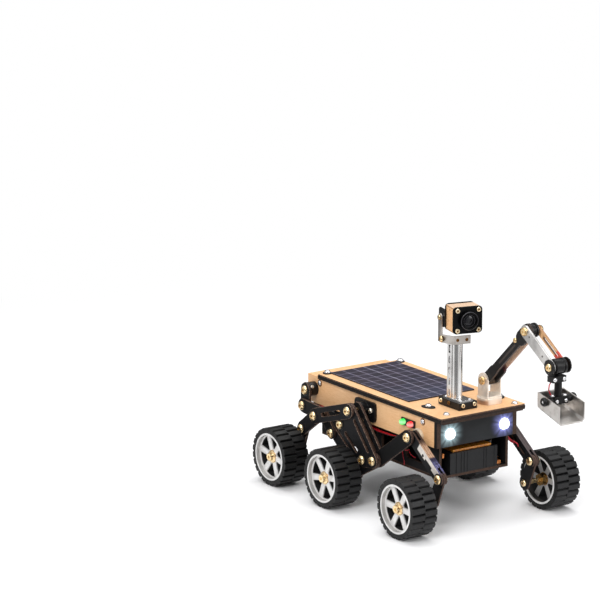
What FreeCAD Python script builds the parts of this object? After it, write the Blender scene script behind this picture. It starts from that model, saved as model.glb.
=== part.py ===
import FreeCAD, Part
import math
import os

# Six-wheeled tabletop rover with a camera mast and a scoop arm, in millimetres.
# +X is forward, +Y is the rover's left, +Z is up. The floor is z = 0, and the
# origin is on the floor under the middle of the whole length.

# Wheels
tyre_radius = 32.5
tyre_width = 31.0
wheel_stand_off = 27.0
front_axle_x = 76.0
middle_axle_x = -60.0
rear_axle_x = -161.0
tread_lugs = 24
tread_depth = 2.3
tread_groove = 3.2
tyre_wall = 6.3
rim_wall = 1.7
rim_lip = 0.4
spoke_count = 6
spoke_turns = {"front": 59.0, "middle": 10.0, "rear": 50.0}
spoke_width_hub = 5.6
spoke_width_rim = 7.6
spoke_depth = 19.0
spoke_recess = 5.0
window_inner_radius = 8.6
hub_radius = 6.6
hub_length = 20.5
hex_across = 12.0
hex_length = 5.0
nut_across = 8.0
nut_height = 3.6
nut_flange_radius = 5.8
nut_flange_height = 1.4
axle_radius = 2.5

# Clearances
fit_gap = 0.05
run_gap = 0.05
face_gap = 0.2
turn_gap = 0.5
over = 1.0

# Sides of small round pieces and chords of plate corners
pin_sides = 6
bore_sides = 8
head_sides = 12
boss_sides = 16
tube_sides = 20
rim_sides = 24
chord_turn = 36.0
slot_turn = 60.0

# Body: plywood box, lid and open tray
ply = 3.0
box_half_width = 53.0
box_rear_x = -169.0
box_front_x = 70.0
box_bottom_z = 87.0
box_top_z = 118.0
post_width = 5.0
lid_rear_x = -146.0
lid_front_x = 81.0
lid_overhang = 3.0
lid_plate = 1.5
lid_corner = 1.2
lid_rim_height = 3.0
lid_rim_seam_x = 57.0
lid_rim_seam = 0.6
panel_rear_x = -138.0
panel_front_x = 7.0
panel_margin = 12.0
panel_thick = 1.6
tray_rear_x = -152.0
tray_front_x = 65.0
tray_inset = 7.0
tray_bottom_z = 51.0
tray_window_length = 34.0
tray_window_height = 17.0
tray_window_pitch = 44.0
tray_window_count = 4
tray_window_radius = 4.0
base_hole_radius = 1.6
base_hole_half_x = 70.0
base_hole_half_y = 34.0
battery_length = 62.0
battery_half_width = 31.5
battery_height = 23.0
battery_grooves = (-23.5, -17.0, -13.0, -9.0, 13.0, 16.5, 27.0)
battery_groove = 0.6
cell_height = 2.6
cell_inset = 6.0

# Lamps
lamp_inset = 17.0
lamp_z = 101.0
lamp_radius = 5.0
lamp_proud = 3.0
status_plate_x = 20.0
status_plate_z = 104.5
status_plate_length = 24.0
status_plate_height = 8.0
status_plate_thick = 1.5
status_lamp_radius = 3.2
status_lamp_spacing = 13.5
status_lamp_proud = 3.4

# Suspension pins, as (x, z) seen from the side
main_pin = (-57.0, 103.5)
inner_pin = (-75.0, 84.0)
arm_pin = (-121.0, 83.5)
rocker_rear_pin = (-34.0, 54.0)
rocker_front_pin = (-15.0, 57.0)
knee_pin = (39.0, 95.0)
ankle_pin = (88.5, 60.0)
tail_pin = (-156.0, 103.5)
tail_low_pin = (-157.0, 86.0)
rear_knee_pin = (-150.0, 62.0)
strut_pin = (-106.0, 65.5)

# Suspension plates, by distance from the rover's centre plane
link_ply = 3.0
standoff_length = 4.0
leg_gap = 2.5
leg_ply = 2.5
boss_length = 10.0
rocker_gap = 6.4
link_radius = 8.5
rocker_end_radius = 8.0
leg_radius = 6.5
slot_radius = 2.4
slot_margin = 13.0
pin_radius = 2.2
pin_head_radius = 4.7
pin_head_height = 2.6
boss_radius = 8.0
pivot_plate_size = 38.0
pivot_plate_height = 22.0
pivot_plate_drop = 2.0
pivot_plate_thick = 3.0
corner_radius = 4.0
standoff_radius = 8.0

# Mast and camera head
mast_x = 47.5
mast_y = -10.6
mast_block_shift = 1.6
mast_block_length = 37.0
mast_block_width = 24.0
mast_block_height = 8.0
mast_plate_thick = 1.0
mast_plate_inset = 3.5
mast_tube_radius = 6.0
mast_tube_wall = 1.2
mast_top_z = 191.2
mast_strip_width = 8.0
mast_strip_back = 4.5
mast_strip_thick = 1.4
mast_slot_count = 5
mast_slot_length = 8.0
mast_slot_width = 2.4
head_pan_deg = -14.0
bracket_height = 9.0
bracket_thick = 1.5
bracket_front = 6.0
bracket_left = 12.8
bracket_corner = -6.4
bracket_hole_radius = 1.9
bracket_hole_pitch = 10.4
bracket_hole_count = 2
plug_length = 6.0
ear_width = 9.0
tilt_back = 12.1
tilt_z = 218.0
head_centre_z = 219.5
head_offset = 5.1
head_half_width = 15.6
head_half_height = 13.5
head_depth = 19.0
head_front = 13.0
face_thick = 3.0
back_thick = 1.6
face_margin = 1.0
face_radius = 3.5
servo_length = 16.0
servo_height = 20.0
servo_thick = 2.6
servo_radius = 3.0
lens_radius = 9.6
lens_length = 5.0
lens_wall = 1.6
tilt_head_radius = 2.8
tilt_head_height = 1.2

# Arm and scoop
arm_x = 55.5
arm_y = 27.1
foot_radius = 13.5
foot_height = 7.0
foot_flat = 11.5
fork_half_inside = 7.5
fork_plate = 1.6
fork_width = 17.0
shoulder_z = 148.0
elbow_x = 126.0
elbow_z = 216.0
wrist_x = 170.0
wrist_z = 187.0
scoop_pin_x = 171.0
scoop_pin_z = 151.6
upper_ply = 2.8
upper_inside = 4.2
upper_bar_radius = 4.6
far_bar_radius = 3.8
sleeve_radius = 5.8
sleeve_length = 26.0
elbow_lobe_radius = 8.0
elbow_lobe_length = 14.0
fore_ply = 2.3
fore_radius = 6.8
fore_wrist_radius = 6.0
fore_strip_radius = 4.0
fore_slot_radius = 1.4
elbow_drum_radius = 7.8
wrist_drum_radius = 8.4
wrist_cap_thick = 1.6
drum_groove = 1.0
drum_groove_width = 2.0
arm_pin_radius = 2.4
arm_head_radius = 4.2
arm_head_height = 2.4
post_radius = 4.0
saddle_depth = 0.8
collar_z = 174.5
collar_height = 6.5
collar_half_width = 8.6
collar_half_depth = 5.0
collar_shift = 2.0
yoke_radius = 4.0
yoke_half_width = 14.8
yoke_block_half = 9.0
yoke_block_length = 9.6
yoke_block_height = 8.0
scoop_half_width = 17.2
scoop_wall = 1.4
scoop_centre_y = 28.0
scoop_rear_top = (157.4, 159.0)
scoop_rear_bottom = (157.6, 140.4)
scoop_front_bottom = (193.0, 130.0)
scoop_front_top = (193.5, 151.0)
scoop_chamfer = 3.0
scoop_cap_radius = 4.6
scoop_cap_thick = 2.4
wrist_wire_radius = 0.7
wrist_wire_path = [(168.4, 21.0, 173.0), (167.0, 18.4, 167.0), (166.8, 18.0, 162.0), (167.3, 19.4, 158.5),
                   (168.6, 21.6, 153.5)]

# Wires under the box, held by the box floor at both ends
belly_wire_radius = 1.1
belly_wire_y = 49.6
belly_wire_pitch = 2.4
belly_wire_path = [(-60.0, 0.6), (-56.0, -4.6), (-42.0, -6.8), (-18.0, -6.2), (-6.0, -4.4), (-2.0, 0.6)]

lid_top_z = box_top_z + lid_rim_height + lid_plate
lid_half_width = box_half_width + lid_overhang
panel_half_width = lid_half_width - panel_margin
tray_half_width = box_half_width - tray_inset
lamp_half_spacing = box_half_width - lamp_inset
leg_inner_y = box_half_width + standoff_length
boss_end_y = box_half_width + boss_length
wheel_inner_y = box_half_width + wheel_stand_off
rim_radius = tyre_radius - tyre_wall
rocker_inner_y = boss_end_y
rocker_outer_y = rocker_inner_y + link_ply + rocker_gap
slotted_arm_y = rocker_outer_y + link_ply + face_gap


def vec(x, y, z):
    return FreeCAD.Vector(x, y, z)


def block(x0, x1, y0, y1, z0, z1):
    return Part.makeBox(x1 - x0, y1 - y0, z1 - z0, vec(x0, y0, z0))


def prism(centre, reach, across, up, radius, sides):
    """Rod from centre along reach, round, or with flat sides whose corners are on the circle."""
    if not sides:
        return Part.makeCylinder(radius, reach.Length, centre, reach)
    corners = []
    for i in range(sides):
        angle = 2 * math.pi * (i + 0.5) / sides
        corners.append(centre + across * (radius * math.cos(angle)) + up * (radius * math.sin(angle)))
    return Part.Face(Part.makePolygon(corners + corners[:1])).extrude(reach)


def rod_y(x, z, radius, y0, y1, sides=0):
    return prism(vec(x, y0, z), vec(0, y1 - y0, 0), vec(1, 0, 0), vec(0, 0, 1), radius, sides)


def rod_z(x, y, radius, z0, z1, sides=0):
    return prism(vec(x, y, z0), vec(0, 0, z1 - z0), vec(1, 0, 0), vec(0, 1, 0), radius, sides)


def rod_x(y, z, radius, x0, x1, sides=0):
    return prism(vec(x0, y, z), vec(x1 - x0, 0, 0), vec(0, 1, 0), vec(0, 0, 1), radius, sides)


def clear_of(radius, sides):
    """Corner radius of a flat-sided bore in which a rod of this radius can turn."""
    return radius / math.cos(math.pi / sides)


def mirrored(shape):
    return shape.mirror(vec(0, 0, 0), vec(0, 1, 0))


def fused(shapes):
    whole = shapes[0].multiFuse(shapes[1:]) if len(shapes) > 1 else shapes[0]
    return whole.removeSplitter()


def link_wire(circles, y=0.0, step=0.0):
    """Closed outline round circles (x, z, radius), of tangents with arcs, or with chords of a step in degrees."""
    area = 0.0
    for (x0, z0, _), (x1, z1, _) in zip(circles, circles[1:] + circles[:1]):
        area += x0 * z1 - x1 * z0
    ring = list(reversed(circles)) if area < 0 else list(circles)
    count = len(ring)
    normals = []
    for i in range(count):
        x0, z0, r0 = ring[i]
        x1, z1, r1 = ring[(i + 1) % count]
        span = math.hypot(x1 - x0, z1 - z0)
        normals.append(math.atan2(z1 - z0, x1 - x0) - math.acos((r0 - r1) / span))

    def on(circle, angle):
        return vec(circle[0] + circle[2] * math.cos(angle), y, circle[1] + circle[2] * math.sin(angle))

    edges = []
    corners = []
    for i in range(count):
        here = ring[i]
        after = ring[(i + 1) % count]
        angle = normals[i]
        turn = (normals[(i + 1) % count] - angle) % (2 * math.pi)
        if step:
            chords = max(1, round(math.degrees(turn) / step))
            corners += [on(after, angle + turn * k / chords) for k in range(chords + 1)]
            continue
        edges.append(Part.LineSegment(on(here, angle), on(after, angle)).toShape())
        edges.append(Part.Arc(on(after, angle), on(after, angle + turn / 2), on(after, angle + turn)).toShape())
    return Part.makePolygon(corners + corners[:1]) if step else Part.Wire(edges)


def outline_y(circles, y0, y1, step=chord_turn):
    return Part.Face(link_wire(circles, y0, step)).extrude(vec(0, y1 - y0, 0))


def plate_y(outline, y0, y1, holes=(), slots=(), step=chord_turn):
    """Flat plate across Y between y0 and y1: outline circles, holes (x, z, radius, sides) and long slots."""
    solid = outline_y(outline, y0, y1, step)
    for x, z, radius, sides in holes:
        solid = solid.cut(rod_y(x, z, radius, y0 - over, y1 + over, sides))
    for slot in slots:
        solid = solid.cut(outline_y(list(slot), y0 - over, y1 + over, slot_turn))
    return solid


def between(a, b, distance):
    """Point on the line from a to b, at a distance from a."""
    span = math.hypot(b[0] - a[0], b[1] - a[1])
    share = distance / span
    return (a[0] + (b[0] - a[0]) * share, a[1] + (b[1] - a[1]) * share)


def long_slot(a, b, margin, radius):
    start = between(a, b, margin)
    end = between(b, a, margin)
    return ((start[0], start[1], radius), (end[0], end[1], radius))


def pin_hole(pin):
    return (pin[0], pin[1], pin_radius + fit_gap, pin_sides)


def axle_hole(centre):
    return (centre[0], centre[1], axle_radius + fit_gap, head_sides)


def turning_hole(centre, radius):
    return (centre[0], centre[1], clear_of(radius + run_gap, bore_sides), bore_sides)


def stepped(x, z, steps, y=0.0, sides=0):
    """One piece of stacked rods (radius, start, end) on one axis across Y."""
    return fused([rod_y(x, z, radius, y + start, y + end, sides) for radius, start, end in steps])


def cord(points, radius):
    """Plain flat-sided cord through the points, with its sections square to the bends."""
    sections = []
    for i, point in enumerate(points):
        before = vec(*points[max(i - 1, 0)])
        after = vec(*points[min(i + 1, len(points) - 1)])
        along = (after - before).normalize()
        across = along.cross(vec(0, 1, 0)).normalize()
        up = along.cross(across)
        corners = []
        for k in range(pin_sides):
            angle = 2 * math.pi * k / pin_sides
            corners.append(vec(*point) + across * (radius * math.cos(angle)) + up * (radius * math.sin(angle)))
        sections.append(Part.makePolygon(corners + corners[:1]))
    return Part.makeLoft(sections, True, True)


def save(name, shapes):
    whole = shapes[0] if len(shapes) == 1 else Part.makeCompound(shapes)
    whole.exportStep(os.path.join("parts", name + ".step"))


# Each wheel is made on the rover's left, and mirrored for the right.

def tyre(x):
    """Two rows of straight tread blocks with notched grooves, one row half a block further round."""
    pitch = 2 * math.pi / tread_lugs
    half_block = (pitch - tread_groove / tyre_radius) / 2
    root = tyre_radius - tread_depth
    row_width = tyre_width / 2
    rows = []
    for start, shift in ((0, 0.0), (row_width, pitch / 2)):
        corners = []
        for i in range(tread_lugs):
            centre = pitch * i + shift - math.pi / 2
            for radius, angle in ((tyre_radius, -half_block), (tyre_radius, half_block), (root, pitch / 2)):
                corners.append(vec(radius * math.cos(centre + angle), start, radius * math.sin(centre + angle)))
        rows.append(Part.Face(Part.makePolygon(corners + corners[:1])).extrude(vec(0, row_width, 0)))
    whole = fused(rows).cut(rod_y(0, 0, rim_radius + fit_gap, -over, tyre_width + over, rim_sides))
    whole.translate(vec(x, wheel_inner_y, tyre_radius))
    return whole


def wheel(x, turn):
    """Six-spoke rim with its hub, the hex driver behind it and the flanged nut in front."""
    bore = rim_radius - rim_wall
    spoke_front = tyre_width - spoke_recess
    spoke_back = spoke_front - spoke_depth
    hub_back = spoke_front - hub_length
    flange_top = spoke_front + nut_flange_height
    nut_top = flange_top + nut_height
    barrel = rod_y(0, 0, rim_radius, -rim_lip, tyre_width + rim_lip, rim_sides)
    barrel = barrel.cut(rod_y(0, 0, bore, -rim_lip - over, tyre_width + rim_lip + over, rim_sides))
    spokes = []
    reach = bore + rim_wall / 2
    for i in range(spoke_count):
        half_hub = spoke_width_hub / 2
        half_rim = spoke_width_rim / 2
        corners = [vec(0, spoke_back, -half_hub), vec(reach, spoke_back, -half_rim),
                   vec(reach, spoke_back, half_rim), vec(0, spoke_back, half_hub)]
        spoke = Part.Face(Part.makePolygon(corners + corners[:1])).extrude(vec(0, spoke_depth, 0))
        spoke.rotate(vec(0, 0, 0), vec(0, 1, 0), 360.0 / spoke_count * i - turn)
        spokes.append(spoke)
    web = rod_y(0, 0, window_inner_radius, spoke_back, spoke_front, head_sides)
    hub = rod_y(0, 0, hub_radius, hub_back, spoke_back, head_sides)
    driver = rod_y(0, 0, hex_across / math.sqrt(3), hub_back - hex_length, hub_back, pin_sides)
    flange = rod_y(0, 0, nut_flange_radius, spoke_front, flange_top)
    nut = rod_y(0, 0, nut_across / math.sqrt(3), flange_top, nut_top, pin_sides)
    whole = fused([barrel, web, hub, driver, flange, nut] + spokes)
    bore_radius = clear_of(axle_radius + run_gap, bore_sides)
    whole = whole.cut(rod_y(0, 0, bore_radius, -rim_lip - over, nut_top - nut_height / 2, bore_sides))
    whole.translate(vec(x, wheel_inner_y, tyre_radius))
    return whole


def wheels():
    places = {"front": front_axle_x, "middle": middle_axle_x, "rear": rear_axle_x}
    for place, x in places.items():
        save("tyre_" + place + "_left", [tyre(x)])
        save("wheel_" + place + "_left", [wheel(x, spoke_turns[place])])
        save("tyre_" + place + "_right", [mirrored(tyre(x))])
        save("wheel_" + place + "_right", [mirrored(wheel(x, spoke_turns[place]))])


# Plywood box, with the lid on top and the open tray below.

def box_panels():
    top = lid_top_z - lid_plate
    side = block(box_rear_x, box_front_x - post_width, box_half_width - ply, box_half_width, box_bottom_z, box_top_z)
    raised = block(lid_rear_x, box_front_x - post_width, box_half_width - ply, box_half_width, box_top_z, top)
    side = fused([side, raised])
    save("side_panels", [side, mirrored(side)])
    inside = box_half_width - ply
    rear_wall = block(box_rear_x, box_rear_x + ply, -inside, inside, box_bottom_z, box_top_z)
    rear_deck = block(box_rear_x, lid_rear_x, -inside, inside, box_top_z - ply, box_top_z)
    save("rear_panel", [fused([rear_wall, rear_deck])])
    floor_rear = box_rear_x + ply
    floor_front = box_front_x - post_width
    save("box_floor", [block(floor_rear, floor_front, -inside, inside, box_bottom_z, box_bottom_z + ply)])
    strands = []
    for i in range(2):
        y = belly_wire_y - i * belly_wire_pitch
        points = [(x + i * belly_wire_pitch, y, box_bottom_z + min(0.0, z)) for x, z in belly_wire_path]
        strand = cord(points, belly_wire_radius)
        strands.append(strand.cut(block(box_rear_x, box_front_x, 0, wheel_inner_y, box_bottom_z, box_top_z)))
    save("belly_wires", [mirrored(strand) for strand in strands])
    post = block(box_front_x - post_width, box_front_x, box_half_width - post_width, box_half_width, box_bottom_z, top)
    save("front_posts", [post, mirrored(post)])
    edge = box_half_width - post_width
    front = block(box_front_x - ply, box_front_x, -edge, edge, box_bottom_z, top)
    for y in (-lamp_half_spacing, lamp_half_spacing):
        front = front.cut(rod_x(y, lamp_z, lamp_radius + fit_gap, box_front_x - ply - over, box_front_x + over,
                               boss_sides))
    save("front_panel", [front])


def lid():
    rim_bottom = box_top_z
    rim_top = box_top_z + lid_rim_height
    plate = block(lid_rear_x, lid_front_x, -lid_half_width, lid_half_width, rim_top, lid_top_z)
    corners = [edge for edge in plate.Edges if abs(edge.Vertexes[0].Z - edge.Vertexes[-1].Z) > lid_plate / 2]
    save("lid_plate", [plate.makeChamfer(lid_corner, corners)])
    side = block(lid_rear_x, lid_rim_seam_x, box_half_width, lid_half_width, rim_bottom, rim_top)
    nose_side = block(lid_rim_seam_x + lid_rim_seam, lid_front_x, box_half_width, lid_half_width, rim_bottom, rim_top)
    nose_half = box_half_width - face_gap
    nose = block(lid_front_x - ply, lid_front_x, -nose_half, nose_half, rim_bottom, rim_top)
    save("lid_rims", [side, mirrored(side), nose_side, mirrored(nose_side), nose])
    save("solar_panel", [block(panel_rear_x, panel_front_x, -panel_half_width, panel_half_width,
                               lid_top_z, lid_top_z + panel_thick)])


def tray():
    floor_top = tray_bottom_z + ply
    floor = block(tray_rear_x, tray_front_x, -tray_half_width, tray_half_width, tray_bottom_z, floor_top)
    middle_x = (tray_rear_x + tray_front_x) / 2
    for sx in (-1, 1):
        for sy in (-1, 1):
            hole_x = middle_x + sx * base_hole_half_x
            floor = floor.cut(rod_z(hole_x, sy * base_hole_half_y, base_hole_radius,
                                    tray_bottom_z - over, floor_top + over))
    save("tray_floor", [floor])
    side = block(tray_rear_x, tray_front_x, tray_half_width - ply, tray_half_width, floor_top, box_bottom_z)
    window_z = (floor_top + box_bottom_z) / 2
    for i in range(tray_window_count):
        x = middle_x + (i - (tray_window_count - 1) / 2) * tray_window_pitch
        half_x = tray_window_length / 2 - tray_window_radius
        half_z = tray_window_height / 2 - tray_window_radius
        corners = [(x - half_x, window_z - half_z, tray_window_radius), (x + half_x, window_z - half_z, tray_window_radius),
                   (x + half_x, window_z + half_z, tray_window_radius), (x - half_x, window_z + half_z, tray_window_radius)]
        hole = outline_y(corners, tray_half_width - ply - over, tray_half_width + over, slot_turn)
        side = side.cut(hole)
    inside = tray_half_width - ply
    rear = block(tray_rear_x, tray_rear_x + ply, -inside, inside, floor_top, box_bottom_z)
    save("tray_sides", [side, mirrored(side)])
    save("tray_rear", [rear])


def battery():
    floor_top = tray_bottom_z + ply
    rear = tray_front_x - battery_length
    top = floor_top + battery_height
    body = block(rear, tray_front_x, -battery_half_width, battery_half_width, floor_top, top)
    for y in battery_grooves:
        groove = block(tray_front_x - battery_groove, tray_front_x + over, y - battery_groove, y + battery_groove,
                       floor_top - over, top + over)
        body = body.cut(groove)
    save("battery_box", [body])
    edge = battery_half_width - cell_inset
    save("pouch_cell", [block(rear + cell_inset, tray_front_x - ply, -edge, edge, top, top + cell_height)])


def lamps():
    lenses = []
    for y in (-lamp_half_spacing, lamp_half_spacing):
        barrel = rod_x(y, lamp_z, lamp_radius, box_front_x - ply, box_front_x + lamp_proud, boss_sides)
        lenses.append(barrel)
    save("head_lamps", lenses)
    face = -box_half_width
    plate_half = status_plate_length / 2
    plate = block(status_plate_x - plate_half, status_plate_x + plate_half, face - status_plate_thick, face,
                  status_plate_z - status_plate_height / 2, status_plate_z + status_plate_height / 2)
    save("status_plate", [plate])
    out = face - status_plate_thick
    beads = []
    for side in (-1, 1):
        x = status_plate_x + side * status_lamp_spacing / 2
        beads.append(rod_y(x, status_plate_z, status_lamp_radius, out - status_lamp_proud, out, head_sides))
    save("status_lamps", beads)


# Suspension: pinned plates on each side, made on the left and mirrored.

def saved_pair(name, pieces):
    save(name, pieces + [mirrored(piece) for piece in pieces])


def at(pin, radius):
    return (pin[0], pin[1], radius)


def suspension():
    wall = box_half_width
    half = pivot_plate_size / 2 - corner_radius
    rise = pivot_plate_height / 2 - corner_radius
    cx = main_pin[0]
    cz = main_pin[1] - pivot_plate_drop
    corners = [(cx - half, cz - rise, corner_radius), (cx + half, cz - rise, corner_radius),
               (cx + half, cz + rise, corner_radius), (cx - half, cz + rise, corner_radius)]
    pivot_plate = plate_y(corners, wall, wall + pivot_plate_thick)
    main_boss = rod_y(main_pin[0], main_pin[1], boss_radius, wall, boss_end_y, boss_sides)
    main_boss = fused([pivot_plate, main_boss])
    tail_boss = rod_y(tail_pin[0], tail_pin[1], boss_radius, wall, boss_end_y, boss_sides)
    bosses = []
    for boss, pin in ((main_boss, main_pin), (tail_boss, tail_pin)):
        bosses.append(boss.cut(rod_y(pin[0], pin[1], pin_radius + fit_gap, wall - over, boss_end_y + over, pin_sides)))
    saved_pair("side_bosses", bosses)

    ring = [at(main_pin, link_radius), at(inner_pin, rocker_end_radius), at(rocker_rear_pin, rocker_end_radius),
            at(rocker_front_pin, rocker_end_radius)]
    holes = [pin_hole(pin) for pin in (main_pin, inner_pin, rocker_rear_pin, rocker_front_pin)]
    slots = [long_slot(main_pin, rocker_front_pin, slot_margin, slot_radius),
             long_slot(inner_pin, rocker_rear_pin, slot_margin, slot_radius)]
    inner = plate_y(ring, rocker_inner_y, rocker_inner_y + link_ply, holes, slots)
    outer = plate_y(ring, rocker_outer_y, rocker_outer_y + link_ply, holes, slots)
    saved_pair("rocker_plates", [inner, outer])

    slotted = plate_y([at(main_pin, link_radius), at(arm_pin, link_radius)], slotted_arm_y, slotted_arm_y + link_ply,
                      [pin_hole(main_pin), pin_hole(arm_pin)],
                      [long_slot(main_pin, arm_pin, slot_margin + 4, slot_radius)])
    saved_pair("slotted_arms", [slotted])

    tail_y = boss_end_y
    tail_high = plate_y([at(tail_pin, link_radius), at(tail_low_pin, rocker_end_radius)], tail_y, tail_y + link_ply,
                        [pin_hole(tail_pin), pin_hole(tail_low_pin)])
    bar_y = tail_y + link_ply + face_gap
    tail_bar = plate_y([at(tail_low_pin, rocker_end_radius), at(arm_pin, link_radius)], bar_y, bar_y + link_ply,
                       [pin_hole(tail_low_pin), pin_hole(arm_pin)])
    saved_pair("tail_links", [tail_high, tail_bar])

    leg_y = rocker_outer_y
    rear_axle = (rear_axle_x, tyre_radius)
    rear_leg = plate_y([at(arm_pin, link_radius), at(rear_knee_pin, rocker_end_radius)], leg_y, leg_y + link_ply,
                       [pin_hole(arm_pin), pin_hole(rear_knee_pin)])
    foot_y = leg_y - link_ply - face_gap
    rear_foot = plate_y([at(rear_knee_pin, rocker_end_radius), at(rear_axle, rocker_end_radius)], foot_y,
                        foot_y + link_ply, [pin_hole(rear_knee_pin), axle_hole(rear_axle)])
    saved_pair("rear_legs", [rear_leg, rear_foot])

    strut_y = boss_end_y
    middle_axle = (middle_axle_x, tyre_radius)
    strut = plate_y([at(arm_pin, leg_radius), at(strut_pin, leg_radius)], strut_y, strut_y + link_ply,
                    [pin_hole(arm_pin), pin_hole(strut_pin)])
    low_y = strut_y - link_ply - face_gap
    low_strut = plate_y([at(strut_pin, leg_radius), at(middle_axle, rocker_end_radius)], low_y, low_y + link_ply,
                        [pin_hole(strut_pin), axle_hole(middle_axle)])
    saved_pair("lower_struts", [strut, low_strut])

    middle_y = rocker_outer_y - link_ply - face_gap
    bracket = plate_y([at(middle_axle, rocker_end_radius), at(rocker_rear_pin, rocker_end_radius),
                       at(rocker_front_pin, rocker_end_radius)], middle_y, middle_y + link_ply,
                      [axle_hole(middle_axle), pin_hole(rocker_rear_pin), pin_hole(rocker_front_pin)])
    saved_pair("middle_brackets", [bracket])

    front_y = rocker_inner_y + link_ply + face_gap
    front_arm = plate_y([at(rocker_front_pin, link_radius), at(knee_pin, link_radius)], front_y, front_y + link_ply,
                        [pin_hole(rocker_front_pin), pin_hole(knee_pin)])
    saved_pair("front_arms", [front_arm])

    inner_leg = plate_y([at(knee_pin, leg_radius), at(ankle_pin, leg_radius)], leg_inner_y, leg_inner_y + leg_ply,
                        [pin_hole(knee_pin), pin_hole(ankle_pin)],
                        [long_slot(knee_pin, ankle_pin, slot_margin, slot_radius)])
    outer_leg_y = leg_inner_y + leg_ply + leg_gap + 2 * face_gap
    outer_leg = plate_y([at(knee_pin, leg_radius), at(ankle_pin, leg_radius)], outer_leg_y, outer_leg_y + leg_ply,
                        [pin_hole(knee_pin), pin_hole(ankle_pin)])
    front_axle = (front_axle_x, tyre_radius)
    foot_front_y = leg_inner_y + leg_ply + face_gap
    front_foot = plate_y([at(ankle_pin, leg_radius), at(front_axle, rocker_end_radius)], foot_front_y,
                         foot_front_y + leg_gap, [pin_hole(ankle_pin), axle_hole(front_axle)])
    saved_pair("front_legs", [inner_leg, outer_leg, front_foot])

    standoff = rod_y(knee_pin[0], knee_pin[1], standoff_radius, wall, leg_inner_y, head_sides)
    bore = rod_y(knee_pin[0], knee_pin[1], pin_radius + fit_gap, wall - over, leg_inner_y + over, pin_sides)
    saved_pair("knee_standoffs", [standoff.cut(bore)])

    arm_end = slotted_arm_y + link_ply
    rocker_end = rocker_outer_y + link_ply
    spans = [(main_pin, wall, arm_end), (tail_pin, wall, tail_y + link_ply), (tail_low_pin, tail_y, bar_y + link_ply),
             (arm_pin, strut_y, arm_end), (inner_pin, rocker_inner_y, rocker_end),
             (rocker_rear_pin, rocker_inner_y, rocker_end), (rocker_front_pin, rocker_inner_y, rocker_end),
             (rear_knee_pin, foot_y, leg_y + link_ply), (strut_pin, low_y, strut_y + link_ply),
             (knee_pin, wall, front_y + link_ply), (ankle_pin, leg_inner_y, outer_leg_y + leg_ply)]
    pins = []
    for pin, start, end in spans:
        shank = rod_y(pin[0], pin[1], pin_radius, start, end, pin_sides)
        head = rod_y(pin[0], pin[1], pin_head_radius, end, end + pin_head_height, bore_sides)
        pins.append(fused([shank, head]))
    axle_end = wheel_inner_y + tyre_width - spoke_recess + nut_flange_height
    starts = ((front_axle, foot_front_y), (middle_axle, low_y), (rear_axle, foot_y))
    axles = [rod_y(centre[0], centre[1], axle_radius, start, axle_end, head_sides) for centre, start in starts]
    saved_pair("pivot_pins", pins + axles)


# Mast with the panning camera head.

def mast():
    base_z = lid_top_z
    block_top = base_z + mast_block_height
    half_x = mast_block_length / 2
    half_y = mast_block_width / 2
    foot_y = mast_y + mast_block_shift
    foot = block(mast_x - half_x, mast_x + half_x, foot_y - half_y, foot_y + half_y, base_z, block_top)
    save("mast_block", [foot])
    plate_top = block_top + mast_plate_thick
    plate = block(mast_x - half_x + mast_plate_inset, mast_x + half_x - mast_plate_inset,
                  foot_y - half_y + mast_plate_inset, foot_y + half_y - mast_plate_inset, block_top, plate_top)
    tube = rod_z(mast_x, mast_y, mast_tube_radius, plate_top, mast_top_z, tube_sides)
    face = mast_y - mast_tube_radius + mast_tube_wall / 2
    strip_x = mast_x - mast_strip_back
    strip = block(strip_x - mast_strip_width / 2, strip_x + mast_strip_width / 2, face - mast_strip_thick, face,
                  plate_top, mast_top_z)
    pitch = (mast_top_z - plate_top) / mast_slot_count
    for i in range(mast_slot_count):
        z = plate_top + pitch * (i + 0.5)
        radius = mast_slot_width / 2
        half = mast_slot_length / 2 - radius
        slot = [(strip_x, z - half, radius), (strip_x, z + half, radius)]
        strip = strip.cut(outline_y(slot, face - mast_strip_thick - over, face + over, slot_turn))
    bore_radius = clear_of(mast_tube_radius - mast_tube_wall, head_sides)
    bore = rod_z(mast_x, mast_y, bore_radius, plate_top, mast_top_z + over, head_sides)
    save("mast_tube", [fused([plate, tube, strip]).cut(bore)])


def panned(pieces):
    for piece in pieces:
        piece.rotate(vec(mast_x, mast_y, 0), vec(0, 0, 1), head_pan_deg)
    return pieces


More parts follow.
